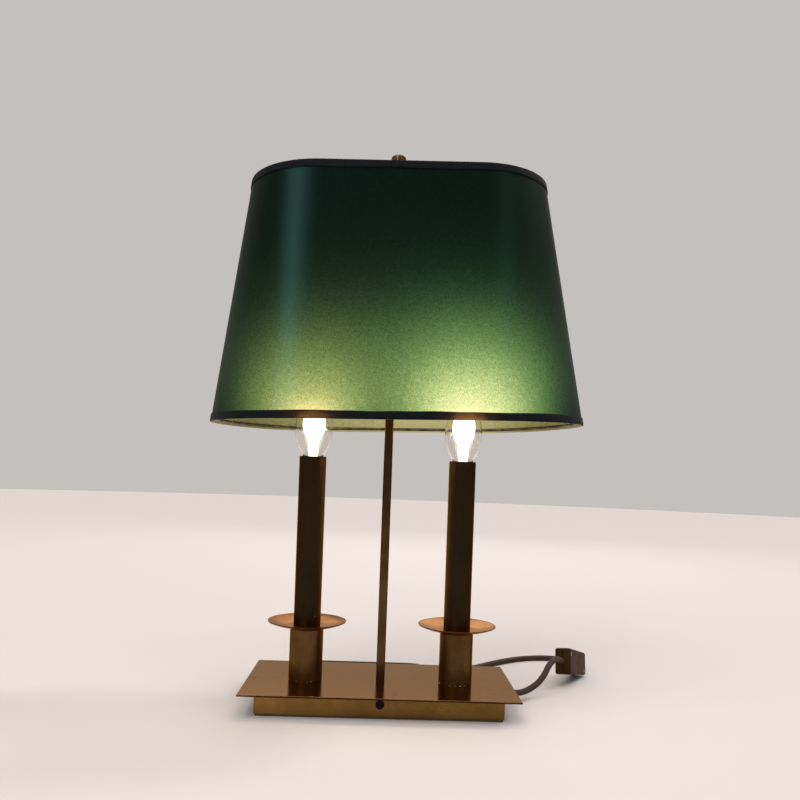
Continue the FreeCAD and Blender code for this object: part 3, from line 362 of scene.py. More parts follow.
def candle_axis_distance(look):
    """The distance from the nearer candle's upright axis."""
    across = look.math("SUBTRACT", look.math("ABSOLUTE", look.axis("X")), CANDLE_X)
    along = look.axis("Y")
    square = look.math("ADD", look.math("MULTIPLY", across, across), look.math("MULTIPLY", along, along))
    return look.math("SQRT", square)


def plate_brass():
    """The plate's top is polished; its cut edge is dark."""
    look = aged_brass(
        "plate_brass", srgb(134, 97, 68), srgb(118, 82, 57), srgb(86, 57, 36),
        gloss=(0.1, 0.2), grain=(40.0, 1.0, 1.0), tarnish=0.35, edge_tint=PALE_EDGE)
    edge = look.levels(look.axis("Z"), *PLATE_EDGE, 1.0, 0.0)
    shaded(look, edge, srgb(112, 104, 92))
    return look.material


def tray_brass():
    """Folded sheet, with painted shade that makes it darker towards the right end."""
    look = aged_brass(
        "tray_brass", srgb(142, 109, 59), srgb(122, 91, 48), srgb(80, 56, 28),
        gloss=(0.24, 0.4), grain=(60.0, 60.0, 1.0), tarnish=0.3)
    # Painted shade: the tray grows darker from its left end towards the right.
    shaded(look, look.levels(look.axis("X"), *TRAY_PAINTED_SHADE), srgb(204, 204, 204))
    return look.material


def cup_brass():
    """Cups, darker than the plate as painted shade, with a painted shadow on the boss under the pan."""
    look = aged_brass(
        "cup_brass", srgb(98, 73, 43), srgb(76, 56, 33), srgb(45, 30, 17),
        gloss=(0.26, 0.4), grain=(1.0, 1.0, 40.0), tarnish=0.4)
    # Painted shadow of the drip pan on the cup's boss.
    shaded(look, look.levels(look.axis("Z"), *PAINTED_SHADOW_UNDER_PAN), srgb(110, 100, 90))
    return look.material


def tube_brass():
    """Candle tubes painted dark as shade, with painted light on the side that faces the other candle."""
    look = aged_brass(
        "tube_brass", srgb(83, 64, 41), srgb(71, 54, 35), srgb(49, 36, 23),
        gloss=(0.3, 0.44), grain=(1.0, 1.0, 40.0), tarnish=0.3)
    # Painted light on the side towards the other candle, painted shade over the rest.
    tube_painted_shade = look.levels(look.math("ABSOLUTE", look.axis("X")), *TUBE_LIGHT_TO_SHADE)
    shaded(look, tube_painted_shade, srgb(156, 160, 164))
    return look.material


def pan_brass():
    """Drip pans, polished, with a dark rim; painted shade makes the left one a little darker, most of all at
    its outer end.
    """
    look = aged_brass(
        "pan_brass", srgb(190, 140, 98), srgb(166, 117, 79), srgb(112, 73, 47),
        gloss=(0.16, 0.28), tarnish=0.25, edge_tint=PALE_EDGE)
    rim = look.levels(candle_axis_distance(look), *PAN_RIM)
    shaded(look, rim, srgb(130, 112, 96))
    # Painted shade at the left pan's outer end.
    painted_shade_left_end = look.levels(look.axis("X"), *LEFT_PAN_SHADE_END, 1.0, 0.0)
    shaded(look, painted_shade_left_end, srgb(214, 204, 194))
    # Painted shade over the whole left pan.
    shaded(look, look.levels(look.axis("X"), *LEFT_PAN_PAINTED_SHADE, 1.0, 0.0), srgb(224, 218, 212))
    return look.material


def stem_brass():
    """The square stem, with painted shade that darkens it towards the lampshade."""
    look = aged_brass(
        "stem_brass", srgb(92, 67, 42), srgb(71, 51, 31), srgb(43, 30, 18),
        gloss=(0.18, 0.3), grain=(1.0, 1.0, 60.0), tarnish=0.4)
    # Painted shade, growing towards the lampshade.
    shaded(look, look.levels(look.axis("Z"), *STEM_PAINTED_SHADE), srgb(190, 186, 182))
    return look.material


def turned_brass():
    """Small turned fittings, olive-brown with age and darkened further as painted shade."""
    return aged_brass(
        "turned_brass", srgb(106, 86, 51), srgb(72, 57, 34), srgb(38, 30, 19),
        gloss=(0.12, 0.24), grain=(1.0, 1.0, 12.0), tarnish=0.4).material


# Other metals

def metal(name, light, dark, size, gloss):
    """Plain metal with a cloudy surface and fine scratches."""
    look = Look(name, Metallic=1.0)
    cloud = look.noise(size, detail=4.0)
    scratches = look.noise(0.7, stretch=(12.0, 1.0, 1.0), detail=2.0)
    mixed = look.math("ADD", look.math("MULTIPLY", cloud, 0.7), look.math("MULTIPLY", scratches, 0.3))
    look.set("Base Color", look.mix(look.levels(mixed, 0.32, 0.68), dark, light))
    look.set("Roughness", look.levels(cloud, 0.3, 0.7, gloss[1], gloss[0]))
    look.bump(scratches, 0.015, 0.4)
    return look.material


def iron():
    """Cast iron, grey-black, with a sandy skin and a little rust."""
    look = Look("iron", Metallic=0.6)
    sand = look.noise(0.9, detail=3.0)
    rust = look.levels(look.noise(11.0, detail=4.0), 0.52, 0.66)
    grey = look.mix(sand, srgb(38, 37, 36), srgb(66, 64, 62))
    look.set("Base Color", look.mix(look.math("MULTIPLY", rust, 0.6), grey, srgb(86, 52, 34)))
    look.set("Roughness", look.levels(rust, 0.0, 1.0, 0.55, 0.85))
    look.bump(sand, 0.15, 0.7)
    return look.material


# Soft and moulded materials

def felt():
    """Olive wool felt with loose fibres."""
    look = Look("felt", Roughness=0.95, Sheen_Weight=0.4)
    fibres = look.noise(0.5, stretch=(3.0, 3.0, 1.0), detail=3.0)
    cloud = look.noise(14.0, detail=3.0)
    colour = look.mix(fibres, srgb(60, 50, 24), srgb(88, 74, 36))
    look.set("Base Color", look.mix(look.math("MULTIPLY", cloud, 0.5), colour, srgb(62, 52, 24)))
    look.bump(fibres, 0.35, 0.9)
    return look.material


def plastic(name, light, dark, grain, gloss, depth=0.03):
    """Moulded plastic with a fine grain and slight colour drift."""
    look = Look(name)
    skin = look.noise(grain, detail=2.0)
    drift = look.noise(22.0, detail=3.0, shift=(4.0, 2.0, 6.0))
    mixed = look.math("ADD", look.math("MULTIPLY", skin, 0.4), look.math("MULTIPLY", drift, 0.6))
    look.set("Base Color", look.mix(look.levels(mixed, 0.3, 0.7), dark, light))
    look.set("Roughness", look.levels(drift, 0.3, 0.7, gloss[0], gloss[1]))
    look.bump(skin, depth, 0.5)
    return look.material


def switch_plastic():
    """Gold-brown lacquered plastic, worn a little lighter in places."""
    look = Look(
        "switch_plastic", Metallic=0.35, Specular_IOR_Level=0.15, Specular_Tint=srgb(214, 172, 116))
    drift = look.noise(13.0, detail=4.0)
    flakes = look.noise(0.35, detail=1.0)
    base = look.mix(look.levels(drift, 0.34, 0.66), srgb(40, 28, 14), srgb(64, 46, 23))
    look.set("Base Color", look.mix(look.levels(flakes, 0.58, 0.75, 0.0, 0.3), base, srgb(112, 82, 42)))
    look.set("Roughness", look.levels(drift, 0.3, 0.7, 0.42, 0.56))
    look.bump(flakes, 0.01, 0.4)
    return look.material


def cord_plastic():
    """Grey-brown flexible sheath, dulled by handling."""
    look = Look("cord_plastic", Specular_IOR_Level=0.25)
    rub = look.noise(7.0, detail=3.0)
    grain = look.noise(0.6, detail=2.0)
    mixed = look.math("ADD", look.math("MULTIPLY", rub, 0.6), look.math("MULTIPLY", grain, 0.4))
    look.set("Base Color", look.mix(look.levels(mixed, 0.3, 0.7), srgb(48, 32, 23), srgb(72, 49, 37)))
    look.set("Roughness", look.levels(rub, 0.3, 0.7, 0.5, 0.66))
    look.bump(grain, 0.05, 0.5)
    return look.material


def wire_plastic():
    """Thin insulation, brown on one wire and blue on the other."""
    look = Look("wire_plastic", Roughness=0.45)
    side = look.levels(look.axis("Y"), -0.2, 0.2)
    tint = look.mix(side, srgb(88, 48, 26), srgb(34, 62, 120))
    grain = look.noise(2.4, detail=3.0)
    look.set("Base Color", look.mix(look.math("MULTIPLY", grain, 0.35), tint, srgb(30, 24, 22)))
    look.bump(grain, 0.03, 0.5)
    return look.material


# Paper shade

GLOW_FROM = 268.0
GLOW_RISE = 41.5
GLOW_FALL = 1.29
GLOW_SPREAD = 46.0
GLOW_WIDENING = 0.28
GLOW_PLACES = ((-62.8, 0.56), (64.0, 1.14))
NEAR_BULB_PLACES = ((-64.0, 0.95), (62.0, 0.5))
# Centres and width of the two painted reflection bands
LEFT_STREAK = -86.5
RIGHT_STREAK = 92.0
STREAK_WIDTH = 10.0
WARMER_TO_THE_LEFT = (-60.0, 50.0)


def glow_level(
        look, start=GLOW_FROM, rise=GLOW_RISE, spread=GLOW_SPREAD, widening=GLOW_WIDENING,
        places=GLOW_PLACES):
    """How strongly the two lamps shine through: each patch widens and fades with height."""
    across = look.axis("X")
    above = look.math("MAXIMUM", look.math("SUBTRACT", look.axis("Z"), start), 0.0)
    width = look.math("MULTIPLY_ADD", above, widening, spread)
    patches = []
    for centre, amount in places:
        away = look.math("DIVIDE", look.math("SUBTRACT", across, centre), width)
        bell = look.math("EXPONENT", look.math("MULTIPLY", look.math("MULTIPLY", away, away), -1.0))
        patches.append(look.math("MULTIPLY", bell, amount))
    fall = look.math("POWER", look.math("DIVIDE", above, rise), GLOW_FALL)
    fade = look.math("EXPONENT", look.math("MULTIPLY", fall, -1.0))
    return look.math("MULTIPLY", look.math("ADD", patches[0], patches[1]), fade)


def paper_fibres(look):
    """Speckle of a fibrous paper: long pale fibres and small dark flecks."""
    fibres = look.noise(1.3, stretch=(2.2, 2.2, 1.0), detail=4.0, roughness=0.7)
    flecks = look.noise(3.4, detail=3.0, roughness=0.65, shift=(5.0, 8.0, 3.0))
    return look.math("ADD", look.math("MULTIPLY", fibres, 0.55), look.math("MULTIPLY", flecks, 0.45))


def painted_reflection_band(look, centre):
    """An upright band of painted reflection on the paper."""
    away = look.math("DIVIDE", look.math("SUBTRACT", look.axis("X"), centre), STREAK_WIDTH)
    return look.math("EXPONENT", look.math("MULTIPLY", look.math("MULTIPLY", away, away), -1.0))


def shade_paper():
    """Green paper, dark where it is unlit, with painted yellow-green light where the lamps shine through and
    two pale upright bands of painted reflection.
    """
    look = Look("shade_paper", Roughness=0.5, Specular_IOR_Level=0.045)
    look.set("Specular Tint", (0.3, 0.85, 1.0, 1.0))
    fibres = paper_fibres(look)
    speckle = look.noise(0.9, detail=2.0, roughness=0.6, shift=(2.0, 9.0, 4.0))
    grain = look.levels(speckle, 0.36, 0.62, 0.74, 1.14)
    uneven = look.math("MULTIPLY", look.levels(fibres, 0.3, 0.7, 0.82, 1.16), grain)
    level = look.math("MINIMUM", look.math("MULTIPLY", glow_level(look), uneven), 1.0)
    light = look.ramp(level, [
        (0.0, (0.0, 0.0, 0.0, 1.0)),
        (0.02, (0.007, 0.016, 0.006, 1.0)),
        (0.06, (0.028, 0.06, 0.021, 1.0)),
        (0.13, (0.078, 0.15, 0.046, 1.0)),
        (0.25, (0.165, 0.275, 0.085, 1.0)),
        (0.43, (0.33, 0.47, 0.16, 1.0)),
        (0.65, (0.56, 0.68, 0.25, 1.0)),
        (1.0, (0.9, 0.93, 0.43, 1.0))])
    warmer = look.levels(look.axis("X"), *WARMER_TO_THE_LEFT, 1.0, 0.0)
    tinted = look.mix(warmer, light, (1.2, 0.97, 0.88, 1.0), "MULTIPLY")
    near_bulbs = glow_level(
        look, start=262.0, rise=8.0, spread=20.0, widening=0.0, places=NEAR_BULB_PLACES)
    look.set("Emission Color", look.mix(near_bulbs, tinted, (0.6, 0.38, 0.19, 1.0), "ADD"))
    look.set("Emission Strength", 1.0)
    plain = look.mix(look.levels(fibres, 0.3, 0.7), srgb(2, 13, 5), srgb(5, 22, 10))
    # Painted reflections: two pale upright bands of sheen on the paper.
    with_painted_reflection = look.mix(look.math("MULTIPLY", painted_reflection_band(look, LEFT_STREAK), 0.9), plain, srgb(38, 66, 62))
    look.set("Base Color", look.mix(painted_reflection_band(look, RIGHT_STREAK), with_painted_reflection, srgb(14, 32, 24)))
    look.bump(fibres, 0.12, 0.5)
    return look.material


def shade_lining():
    """The paper's inner face, pale and lit by the lamps."""
    look = Look("shade_lining", Roughness=0.7)
    fibres = paper_fibres(look)
    uneven = look.levels(fibres, 0.3, 0.7, 0.85, 1.1)
    glow = glow_level(look, start=262.0, rise=60.0, spread=80.0, widening=0.3)
    level = look.math("MULTIPLY", glow, uneven)
    light = look.ramp(level, [
        (0.0, (0.012, 0.016, 0.006, 1.0)),
        (0.3, (0.09, 0.095, 0.03, 1.0)),
        (0.9, (0.34, 0.3, 0.14, 1.0))])
    look.set("Emission Color", light)
    look.set("Emission Strength", 1.0)
    look.set("Base Color", look.mix(look.levels(fibres, 0.3, 0.7), srgb(92, 92, 56), srgb(124, 122, 80)))
    look.bump(fibres, 0.1, 0.4)
    return look.material


def ribbon_cloth():
    """Black ribbed ribbon, warm brown where a lamp shines through it."""
    look = Look("ribbon_cloth", Roughness=0.7, Specular_IOR_Level=0.1, Sheen_Weight=0.02)
    ribs = look.noise(0.7, stretch=(1.0, 1.0, 14.0), detail=1.0)
    patches = look.noise(10.0, detail=3.0)
    look.set("Base Color", look.mix(look.levels(ribs, 0.3, 0.7), srgb(2, 5, 8), srgb(9, 14, 19)))
    uneven = look.levels(patches, 0.3, 0.7, 0.7, 1.1)
    glow = glow_level(look, start=258.0, rise=7.0, spread=15.0, widening=0.0)
    level = look.math("MULTIPLY", glow, uneven)
    look.set("Emission Color", look.ramp(level, [
        (0.0, (0.0, 0.0, 0.0, 1.0)),
        (0.2, (0.03, 0.011, 0.003, 1.0)),
        (0.9, (0.42, 0.17, 0.045, 1.0))]))
    look.set("Emission Strength", 1.0)
    look.bump(ribs, 0.2, 0.7)
    return look.material


# Glass and light

def clear_glass():
    """Clear blown glass, with the faint waves of its blowing."""
    look = Look("clear_glass", Roughness=0.0, IOR=1.45, Transmission_Weight=1.0)
    waves = look.noise(16.0, detail=1.0)
    look.set("Base Color", look.mix(waves, srgb(255, 253, 250), srgb(250, 249, 244)))
    look.bump(waves, 0.2, 0.3)
    return look.material


def glowing(name, strength, middle, edge, size):
    """A lit body, a little uneven in brightness."""
    look = Look(name, Roughness=0.5)
    flicker = look.noise(size, detail=2.0)
    look.set("Base Color", middle)
    look.set("Emission Color", look.mix(look.levels(flicker, 0.35, 0.65), edge, middle))
    look.set("Emission Strength", strength)
    return look.material


# Mesh building blocks

def new_piece(name, mesh, material, body):
    """A mesh that becomes one visible piece of the lamp."""
    piece = bpy.data.objects.new(name, mesh)
    bpy.context.scene.collection.objects.link(piece)
    mesh.materials.append(material)
    for face in mesh.polygons:
        face.use_smooth = True
    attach(piece, body)
    return piece


def revolved(name, profile, centre, steps=48):
    """A closed body turned about an upright axis; its (radius, height) profile has both ends on it."""
    mesh = bpy.data.meshes.new(name)
    work = bmesh.new()
    rows = []
    for radius, height in profile:
        if radius <= 0.0:
            rows.append([work.verts.new((centre[0] * MM, centre[1] * MM, height * MM))])
            continue
        row = []
        for step in range(steps):
            turn = 2 * math.pi * step / steps
            x = centre[0] + radius * math.cos(turn)
            y = centre[1] + radius * math.sin(turn)
            row.append(work.verts.new((x * MM, y * MM, height * MM)))
        rows.append(row)
    for lower, upper in zip(rows, rows[1:]):
        for step in range(steps):
            after = (step + 1) % steps
            if len(lower) == 1:
                work.faces.new((lower[0], upper[after], upper[step]))
            elif len(upper) == 1:
                work.faces.new((lower[step], lower[after], upper[0]))
            else:
                work.faces.new((lower[step], lower[after], upper[after], upper[step]))
    bmesh.ops.recalc_face_normals(work, faces=work.faces)
    work.to_mesh(mesh)
    work.free()
    return mesh


FLAT_STEPS = 34
BEND_POINTS = 44


def shade_radius(height):
    """Half the shade's depth at a height."""
    share = (height - SHADE_BOTTOM) / (SHADE_TOP - SHADE_BOTTOM)
    return (BOTTOM_DEPTH + (TOP_DEPTH - BOTTOM_DEPTH) * share) / 2


def oval_places():
    """Steps round the shade's oval: the centre of each point's arc, and its direction."""
    places = []
    half = FLAT_LENGTH / 2
    for step in range(FLAT_STEPS):
        places.append((-half + FLAT_LENGTH * step / FLAT_STEPS, -90.0))
    for step in range(BEND_POINTS):
        places.append((half, -90.0 + 180.0 * step / BEND_POINTS))
    for step in range(FLAT_STEPS):
        places.append((half - FLAT_LENGTH * step / FLAT_STEPS, 90.0))
    for step in range(BEND_POINTS):
        places.append((-half, 90.0 + 180.0 * step / BEND_POINTS))
    return places


def askew(point):
    """The shade's small tilt and shift, in millimetres; only the tilt reaches the hub."""
    x, y, z = point
    height = z - CARRIER_HEIGHT
    end = max(0.0, abs(x) - FLAT_LENGTH / 2) / (BOTTOM_DEPTH / 2)
    lift = TIP_LIFT * end * end * min(1.0, max(0.0, (SHADE_TOP - z) / (SHADE_TOP - SHADE_BOTTOM)))
    outward = min(1.0, max(0.0, (math.hypot(x, y) - UNSHIFTED_RADIUS) / SHIFT_GROWS_OVER))
    turned_x = x * math.cos(TILT_SIDEWAYS) - height * math.sin(TILT_SIDEWAYS)
    turned_z = x * math.sin(TILT_SIDEWAYS) + height * math.cos(TILT_SIDEWAYS)
    turned_y = y - turned_z * math.sin(TILT_BACK)
    turned_z = turned_z + y * math.sin(TILT_BACK)
    return Vector((turned_x + SHADE_SHIFT * outward, turned_y, turned_z + CARRIER_HEIGHT + lift))


def oval_band(name, profile, wobble=None):
    """A closed band round the shade; profile is a loop of (height, distance outside the paper).

    Faces on the paper's inner side take the second material.
    """
    mesh = bpy.data.meshes.new(name)
    work = bmesh.new()
    places = oval_places()
    rows = []
    for number, (centre, angle) in enumerate(places):
        turn = math.radians(angle)
        row = []
        for height, outside in profile:
            shift = wobble(number / len(places), height) if wobble else 0.0
            reach = shade_radius(height) + outside
            point = askew((centre + reach * math.cos(turn), reach * math.sin(turn), height + shift))
            row.append(work.verts.new(point * MM))
        rows.append(row)
    for number, row in enumerate(rows):
        following = rows[(number + 1) % len(rows)]
        for step in range(len(profile)):
            after = (step + 1) % len(profile)
            face = work.faces.new((row[step], following[step], following[after], row[after]))
            inside = profile[step][1] < -PAPER / 2 and profile[after][1] < -PAPER / 2
            face.material_index = 1 if inside else 0
    bmesh.ops.recalc_face_normals(work, faces=work.faces)
    work.to_mesh(mesh)
    work.free()
    return mesh


# Shade pieces

PAPER_ROWS = 28


def make_paper(outer, inner):
    """The shade's paper wall, with its outer and inner face."""
    rise = SHADE_TOP - SHADE_BOTTOM
    heights = [SHADE_BOTTOM + rise * step / PAPER_ROWS for step in range(PAPER_ROWS + 1)]
    profile = [(height, 0.0) for height in heights]
    profile += [(height, -PAPER) for height in reversed(heights)]
    paper = new_piece("paper_wall", oval_band("paper_wall", profile), outer, "shade")
    paper.data.materials.append(inner)
    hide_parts("shade_skin")


def make_ribbon(name, node, low, high, material):
    """A ribbon glued round one rim, its edges slightly rounded and not quite straight."""
    profile = [
        (low, 0.1), (low + 0.1, 0.6), (low + 0.5, 0.8), (low + 0.25 * RIBBON_HEIGHT, 0.86),
        ((low + high) / 2, 0.8), (high - 0.25 * RIBBON_HEIGHT, 0.86), (high - 0.5, 0.8),
        (high - 0.1, 0.6), (high, 0.1), ((low + high) / 2, 0.05)]

    def wave(share):
        turn = 2 * math.pi * share
        return 0.22 * math.sin(7 * turn + low) + 0.12 * math.sin(19 * turn + 2.0)

    def free_edge(share, height):
        away = abs(height - (low if low > SHADE_BOTTOM else high))
        return wave(share) * max(0.0, 1.0 - away / RIBBON_HEIGHT)

    ribbon = new_piece(name, oval_band(name, profile, free_edge), material, "shade")
    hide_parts(node)


def make_tilted_copy(name, node, material):
    """A wire part of the carrier, set askew with the paper."""
    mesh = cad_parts[node].data.copy()
    mesh.name = name
    mesh.materials.clear()
    for vertex in mesh.vertices:
        vertex.co = askew(vertex.co / MM) * MM
    piece = new_piece(name, mesh, material, "shade")
    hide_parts(node)


# Bulb pieces

CORE_PROFILE = [
    (0.0, 226.4), (3.2, 226.6), (4.3, 229.0), (4.6, 236.0), (4.8, 243.0), (6.2, 247.0), (8.6, 250.0),
    (10.0, 253.0), (10.6, 258.0), (10.4, 264.0), (9.2, 270.0), (7.0, 276.0), (4.0, 281.5), (1.6, 285.0),
    (0.0, 286.6)]


def make_core(side, x, material):
    """The white glow round the filament."""
    name = side + "_glow"
    core = new_piece(name, revolved(name, CORE_PROFILE, (x, 0.0)), material, "lamp")
    smooth = core.modifiers.new("smooth", "SUBSURF")
    smooth.levels = smooth.render_levels = 1


# Small details

SOLDER_ANGLES = (-112.0, -96.0, -78.0, -62.0, 40.0, 130.0, 205.0)
SOLDER_REACH = CUP_RADIUS + 0.1
BEAD_SHAPE = (1.3, 1.3, 0.55, 1.0)


def solder_beads(side, x, material):
    """Small beads of solder where the cup stands on the plate."""
    rng = random.Random(7 if x < 0 else 11)
    mesh = bpy.data.meshes.new(side + "_solder")
    work = bmesh.new()
    for angle in SOLDER_ANGLES:
        turn = math.radians(angle + rng.uniform(-3.0, 3.0))
        size = rng.uniform(0.7, 1.15)
        place = Vector((x + SOLDER_REACH * math.cos(turn), SOLDER_REACH * math.sin(turn), PLATE_TOP))
        shape = Matrix.Translation(place * MM) @ Matrix.Diagonal(BEAD_SHAPE)
        bmesh.ops.create_icosphere(work, subdivisions=2, radius=size * MM, matrix=shape)
    work.to_mesh(mesh)
    work.free()
    new_piece(side + "_solder", mesh, material, "lamp")


SLEEVE_STEPS = 40
SLEEVE_AROUND = 24
SLEEVE_RADIUS = 5.3
SLEEVE_TAPER = 1.7
SLEEVE_GROOVE = 0.35


def make_plug_sleeve(material):
    """The tapered, ribbed sleeve where the lead goes into the plug."""
    start, end = Vector((77.4, 68.5, 7.05)), Vector((57.6, 65.2, 9.0))
    knee = Vector((68.0, 68.5, 7.15))
    mesh = bpy.data.meshes.new("plug_sleeve")
    work = bmesh.new()
    rows = []
    for step in range(SLEEVE_STEPS + 1):
        share = step / SLEEVE_STEPS
        centre = start * (1 - share) ** 2 + knee * 2 * share * (1 - share) + end * share ** 2
        ahead = ((knee - start) * (1 - share) + (end - knee) * share).normalized()
        sideways = ahead.cross(Vector((0, 0, 1))).normalized()
        upward = sideways.cross(ahead)
        in_groove = step % 5 in (1, 2) and 4 < step < SLEEVE_STEPS - 2
        radius = SLEEVE_RADIUS - SLEEVE_TAPER * share - (SLEEVE_GROOVE if in_groove else 0.0)
        row = []
        for turn in range(SLEEVE_AROUND):
            angle = 2 * math.pi * turn / SLEEVE_AROUND
            point = centre + sideways * radius * math.cos(angle) + upward * radius * math.sin(angle)
            row.append(work.verts.new(point * MM))
        rows.append(row)
    for lower, upper in zip(rows, rows[1:]):
        for turn in range(SLEEVE_AROUND):
            after = (turn + 1) % SLEEVE_AROUND
            work.faces.new((lower[turn], lower[after], upper[after], upper[turn]))
    work.faces.new(rows[0][::-1])
    work.faces.new(rows[-1])
    bmesh.ops.recalc_face_normals(work, faces=work.faces)
    work.to_mesh(mesh)
    work.free()
    return new_piece("plug_sleeve", mesh, material, "lamp")


# Stage

FLOOR_RADIUS = 6.0
FLOOR_COLOUR = srgb(222, 216, 214)
WORLD_COLOUR = (0.36, 0.34, 0.33, 1.0)
BACKDROP_COLOUR = (0.55, 0.527, 0.515, 1.0)
LIGHTS_AIM = Vector((0.0, 0.0, 0.25))
SOFTBOX_DISTANCE = 1.9
SUN_DISTANCE = 3.0
BULB_POWER = 0.28
BULB_LIGHT_RADIUS = 0.006
BULB_LIGHT_Y = -19.5
BULB_LIGHT_HEIGHT = 262.0


def make_floor():
    """A plain pale floor under the lamp."""
    mesh = bpy.data.meshes.new("floor")
    work = bmesh.new()
    bmesh.ops.create_circle(work, cap_ends=True, segments=96, radius=FLOOR_RADIUS)
    work.to_mesh(mesh)
    work.free()
    floor = bpy.data.objects.new("floor", mesh)
    bpy.context.scene.collection.objects.link(floor)
    look = Look("floor", Roughness=0.8, Specular_IOR_Level=0.2)
    look.set("Base Color", FLOOR_COLOUR)
    mesh.materials.append(look.material)


def make_world():
    """Even light from all sides, and a pale backdrop that the camera, metal and glass see."""
    world = bpy.data.worlds.new("studio")
    bpy.context.scene.world = world
    world.use_nodes = True
    tree = world.node_tree
    background = tree.nodes["Background"]
    path = tree.nodes.new("ShaderNodeLightPath")
    shown = path.outputs["Is Camera Ray"]
    for ray in ("Is Glossy Ray", "Is Transmission Ray"):
        either = tree.nodes.new("ShaderNodeMath")
        either.operation = "MAXIMUM"
        tree.links.new(shown, either.inputs[0])
        tree.links.new(path.outputs[ray], either.inputs[1])
        shown = either.outputs[0]
    seen = tree.nodes.new("ShaderNodeMix")
    seen.data_type = "RGBA"
    seen.inputs[6].default_value = WORLD_COLOUR
    seen.inputs[7].default_value = BACKDROP_COLOUR
    tree.links.new(shown, seen.inputs[0])
    tree.links.new(seen.outputs[2], background.inputs["Color"])


def aimed_light(name, kind, azimuth, elevation, distance, strength, colour):
    """A light that looks at the lamp's middle; azimuth is from the front, to the right."""
    data = bpy.data.lights.new(name, kind)
    data.energy = strength
    data.color = colour[:3]
    light = bpy.data.objects.new(name, data)
    bpy.context.scene.collection.objects.link(light)
    turn, rise = math.radians(azimuth), math.radians(elevation)
    away = Vector((math.sin(turn) * math.cos(rise), -math.cos(turn) * math.cos(rise), math.sin(rise)))
    light.location = LIGHTS_AIM + away * distance
    light.rotation_euler = away.to_track_quat("Z", "Y").to_euler()
    return data


def softbox(name, azimuth, elevation, size, strength, colour):
    """A rectangular light; the two narrow ones are seen as streaks on the shade."""
    data = aimed_light(name, "AREA", azimuth, elevation, SOFTBOX_DISTANCE, strength, colour)
    data.shape = "RECTANGLE"
    data.size, data.size_y = size


def wide_light(name, azimuth, elevation, spread, strength, colour):
    """A far soft light that fills the whole floor evenly; spread is its width in degrees."""
    data = aimed_light(name, "SUN", azimuth, elevation, SUN_DISTANCE, strength, colour)
    data.angle = math.radians(spread)


def bulb_light(side, x):
    """The little light that a lit bulb throws on the base and the table."""
    data = bpy.data.lights.new(side + "_bulb_light", "POINT")
    data.energy = BULB_POWER
    data.color = srgb(255, 214, 170)[:3]
    data.shadow_soft_size = BULB_LIGHT_RADIUS
    light = bpy.data.objects.new(side + "_bulb_light", data)
    bpy.context.scene.collection.objects.link(light)
    light.location = Vector((x, BULB_LIGHT_Y, BULB_LIGHT_HEIGHT)) * MM


def make_lights():
    warm = srgb(255, 248, 242)
    cool = srgb(232, 244, 255)
    wide_light("key", -38.0, 48.0, 39.0, 0.85, warm)
    wide_light("top", 20.0, 80.0, 53.0, 1.1, warm)
    wide_light("side", 112.0, 46.0, 10.0, 0.65, warm)
    softbox("back", 172.0, 30.0, (1.6, 1.2), 5.5, warm)
    softbox("left_strip", -19.0, 32.0, (0.12, 1.3), 3.6, cool)
    softbox("right_strip", 43.0, 30.0, (0.12, 1.2), 1.6, cool)
    bulb_light("left", -CANDLE_X)
    bulb_light("right", CANDLE_X)


# Putting it together

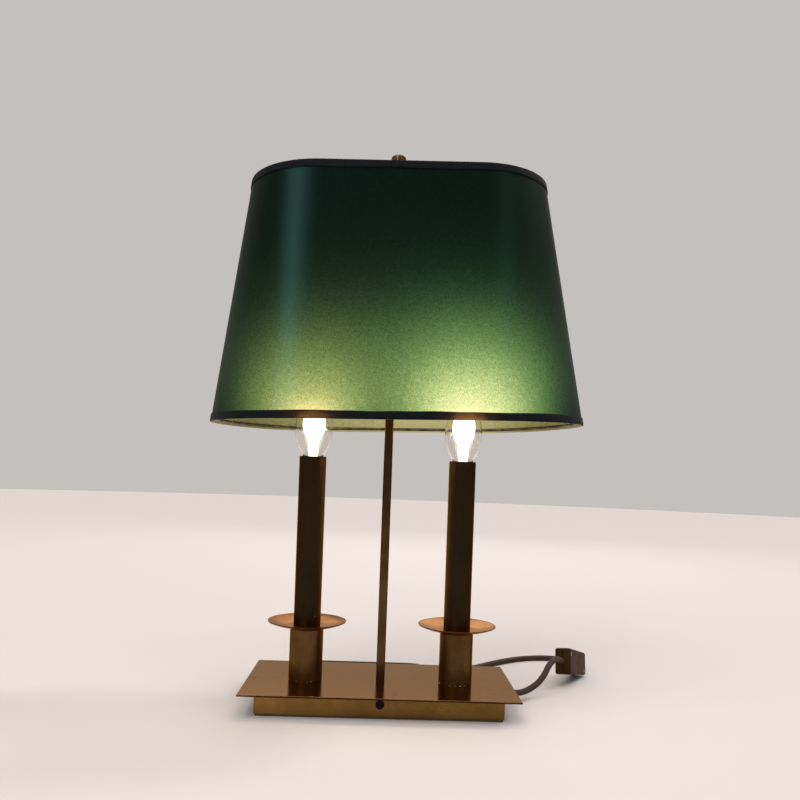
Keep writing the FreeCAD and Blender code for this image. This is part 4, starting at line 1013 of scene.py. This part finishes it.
def dress_nodes():
    """Gives every CAD node that stays its material, and returns the two that new pieces share."""
    plate, tray, cup, tube = plate_brass(), tray_brass(), cup_brass(), tube_brass()
    pan, stem, polished = pan_brass(), stem_brass(), turned_brass()
    contact = metal("contact_brass", srgb(196, 158, 92), srgb(150, 116, 62), 5.0, (0.2, 0.35))
    steel = metal("plated_steel", srgb(196, 196, 192), srgb(150, 150, 148), 5.0, (0.2, 0.38))
    wire = metal("shade_wire", srgb(120, 108, 84), srgb(72, 62, 46), 7.0, (0.32, 0.5))
    cap = metal("cap_metal", srgb(180, 176, 166), srgb(140, 136, 128), 4.0, (0.2, 0.34))
    black = metal("black_screw", srgb(34, 32, 32), srgb(14, 13, 14), 2.0, (0.3, 0.5))
    pin = metal("pin_metal", srgb(206, 196, 170), srgb(166, 156, 130), 4.0, (0.16, 0.3))
    holder = plastic("holder_plastic", srgb(52, 40, 32), srgb(30, 22, 18), 0.5, (0.3, 0.44))
    rubber = plastic("grommet_rubber", srgb(38, 30, 26), srgb(20, 16, 14), 0.4, (0.55, 0.72), 0.05)
    terminal = plastic("terminal_plastic", srgb(226, 220, 204), srgb(202, 194, 176), 0.5, (0.35, 0.5))
    rocker = plastic("rocker_plastic", srgb(50, 34, 20), srgb(28, 19, 11), 0.4, (0.24, 0.36))
    band = plastic("tie_band", srgb(40, 34, 30), srgb(22, 18, 16), 0.6, (0.45, 0.6), 0.05)
    plug = plastic("plug_plastic", srgb(74, 54, 40), srgb(48, 34, 26), 0.5, (0.4, 0.55), 0.05)
    glass, wires, switch = clear_glass(), wire_plastic(), switch_plastic()
    mount = glowing("mount_glow", 2.4, srgb(255, 244, 214), srgb(255, 226, 170), 4.0)
    table = {
        "base_plate": plate, "base_tray": tray, "base_felt": felt(), "ballast_plate": iron(),
        "ballast_screws": steel, "tray_lugs": tray, "tray_screws": black, "stem": stem,
        "stem_nut": steel, "finial": polished, "nipple_nuts": steel, "plate_washers": steel,
        "holder_contacts": contact, "shade_hub": polished, "hub_ring_nut": polished,
        "shade_lock_screw": polished, "cord_grommet": rubber, "cord_clamp": contact,
        "clamp_screws": steel, "terminal_block": terminal, "switch_rocker_half": switch,
        "switch_plain_half": switch, "switch_rocker": rocker, "rocker_pin": steel,
        "switch_screws": steel, "switch_contacts": contact, "hank_tie": band,
        "plug_body": plug, "plug_pins": pin}
    for side in ("left_", "right_"):
        table.update({
            side + "cup": cup, side + "drip_pan": pan, side + "candle_tube": tube,
            side + "nipple": contact, side + "lampholder": holder, side + "holder_shell": cap,
            side + "bulb_cap": cap, side + "bulb_glass": glass, side + "bulb_mount": mount,
            side + "wires": wires})
    for node, material in table.items():
        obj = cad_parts[node]
        obj.data.materials.clear()
        obj.data.materials.append(material)
    return wire, plug


def make_cords(material):
    lead = cord_curve("lead", LEAD_ROUTE)
    main = cord_curve("main_lead", TAIL_ROUTE + hank_turns() + END_ROUTE)
    for cord in (lead, main):
        cord.data.materials.append(material)
    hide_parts("cord_lead")
    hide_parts("cord_tail", "cord_hank", "cord_end")
    return lead, main


def make_shade(wire):
    make_paper(shade_paper(), shade_lining())
    cloth = ribbon_cloth()
    make_ribbon("ribbon_lower", "shade_ribbon_bottom", SHADE_BOTTOM, SHADE_BOTTOM + RIBBON_HEIGHT, cloth)
    make_ribbon("ribbon_upper", "shade_ribbon_top", SHADE_TOP - RIBBON_HEIGHT, SHADE_TOP, cloth)
    make_tilted_copy("rim_ring", "shade_bottom_ring", wire)
    make_tilted_copy("carrier_arms", "shade_spider", wire)


def build():
    place_camera()
    lead, main = make_cords(cord_plastic())
    wire, plug = dress_nodes()
    make_shade(wire)
    core = glowing("core_glow", 5.0, srgb(255, 250, 236), srgb(255, 238, 204), 6.0)
    beads = metal("solder", srgb(150, 126, 92), srgb(96, 74, 48), 1.5, (0.2, 0.36))
    for side, x in (("left", -CANDLE_X), ("right", CANDLE_X)):
        make_core(side, x, core)
        solder_beads(side, x, beads)
    make_plug_sleeve(plug)
    make_floor()
    make_world()
    make_lights()
    bpy.context.scene.view_settings.view_transform = "Standard"


build()

bpy.context.view_layer.update()
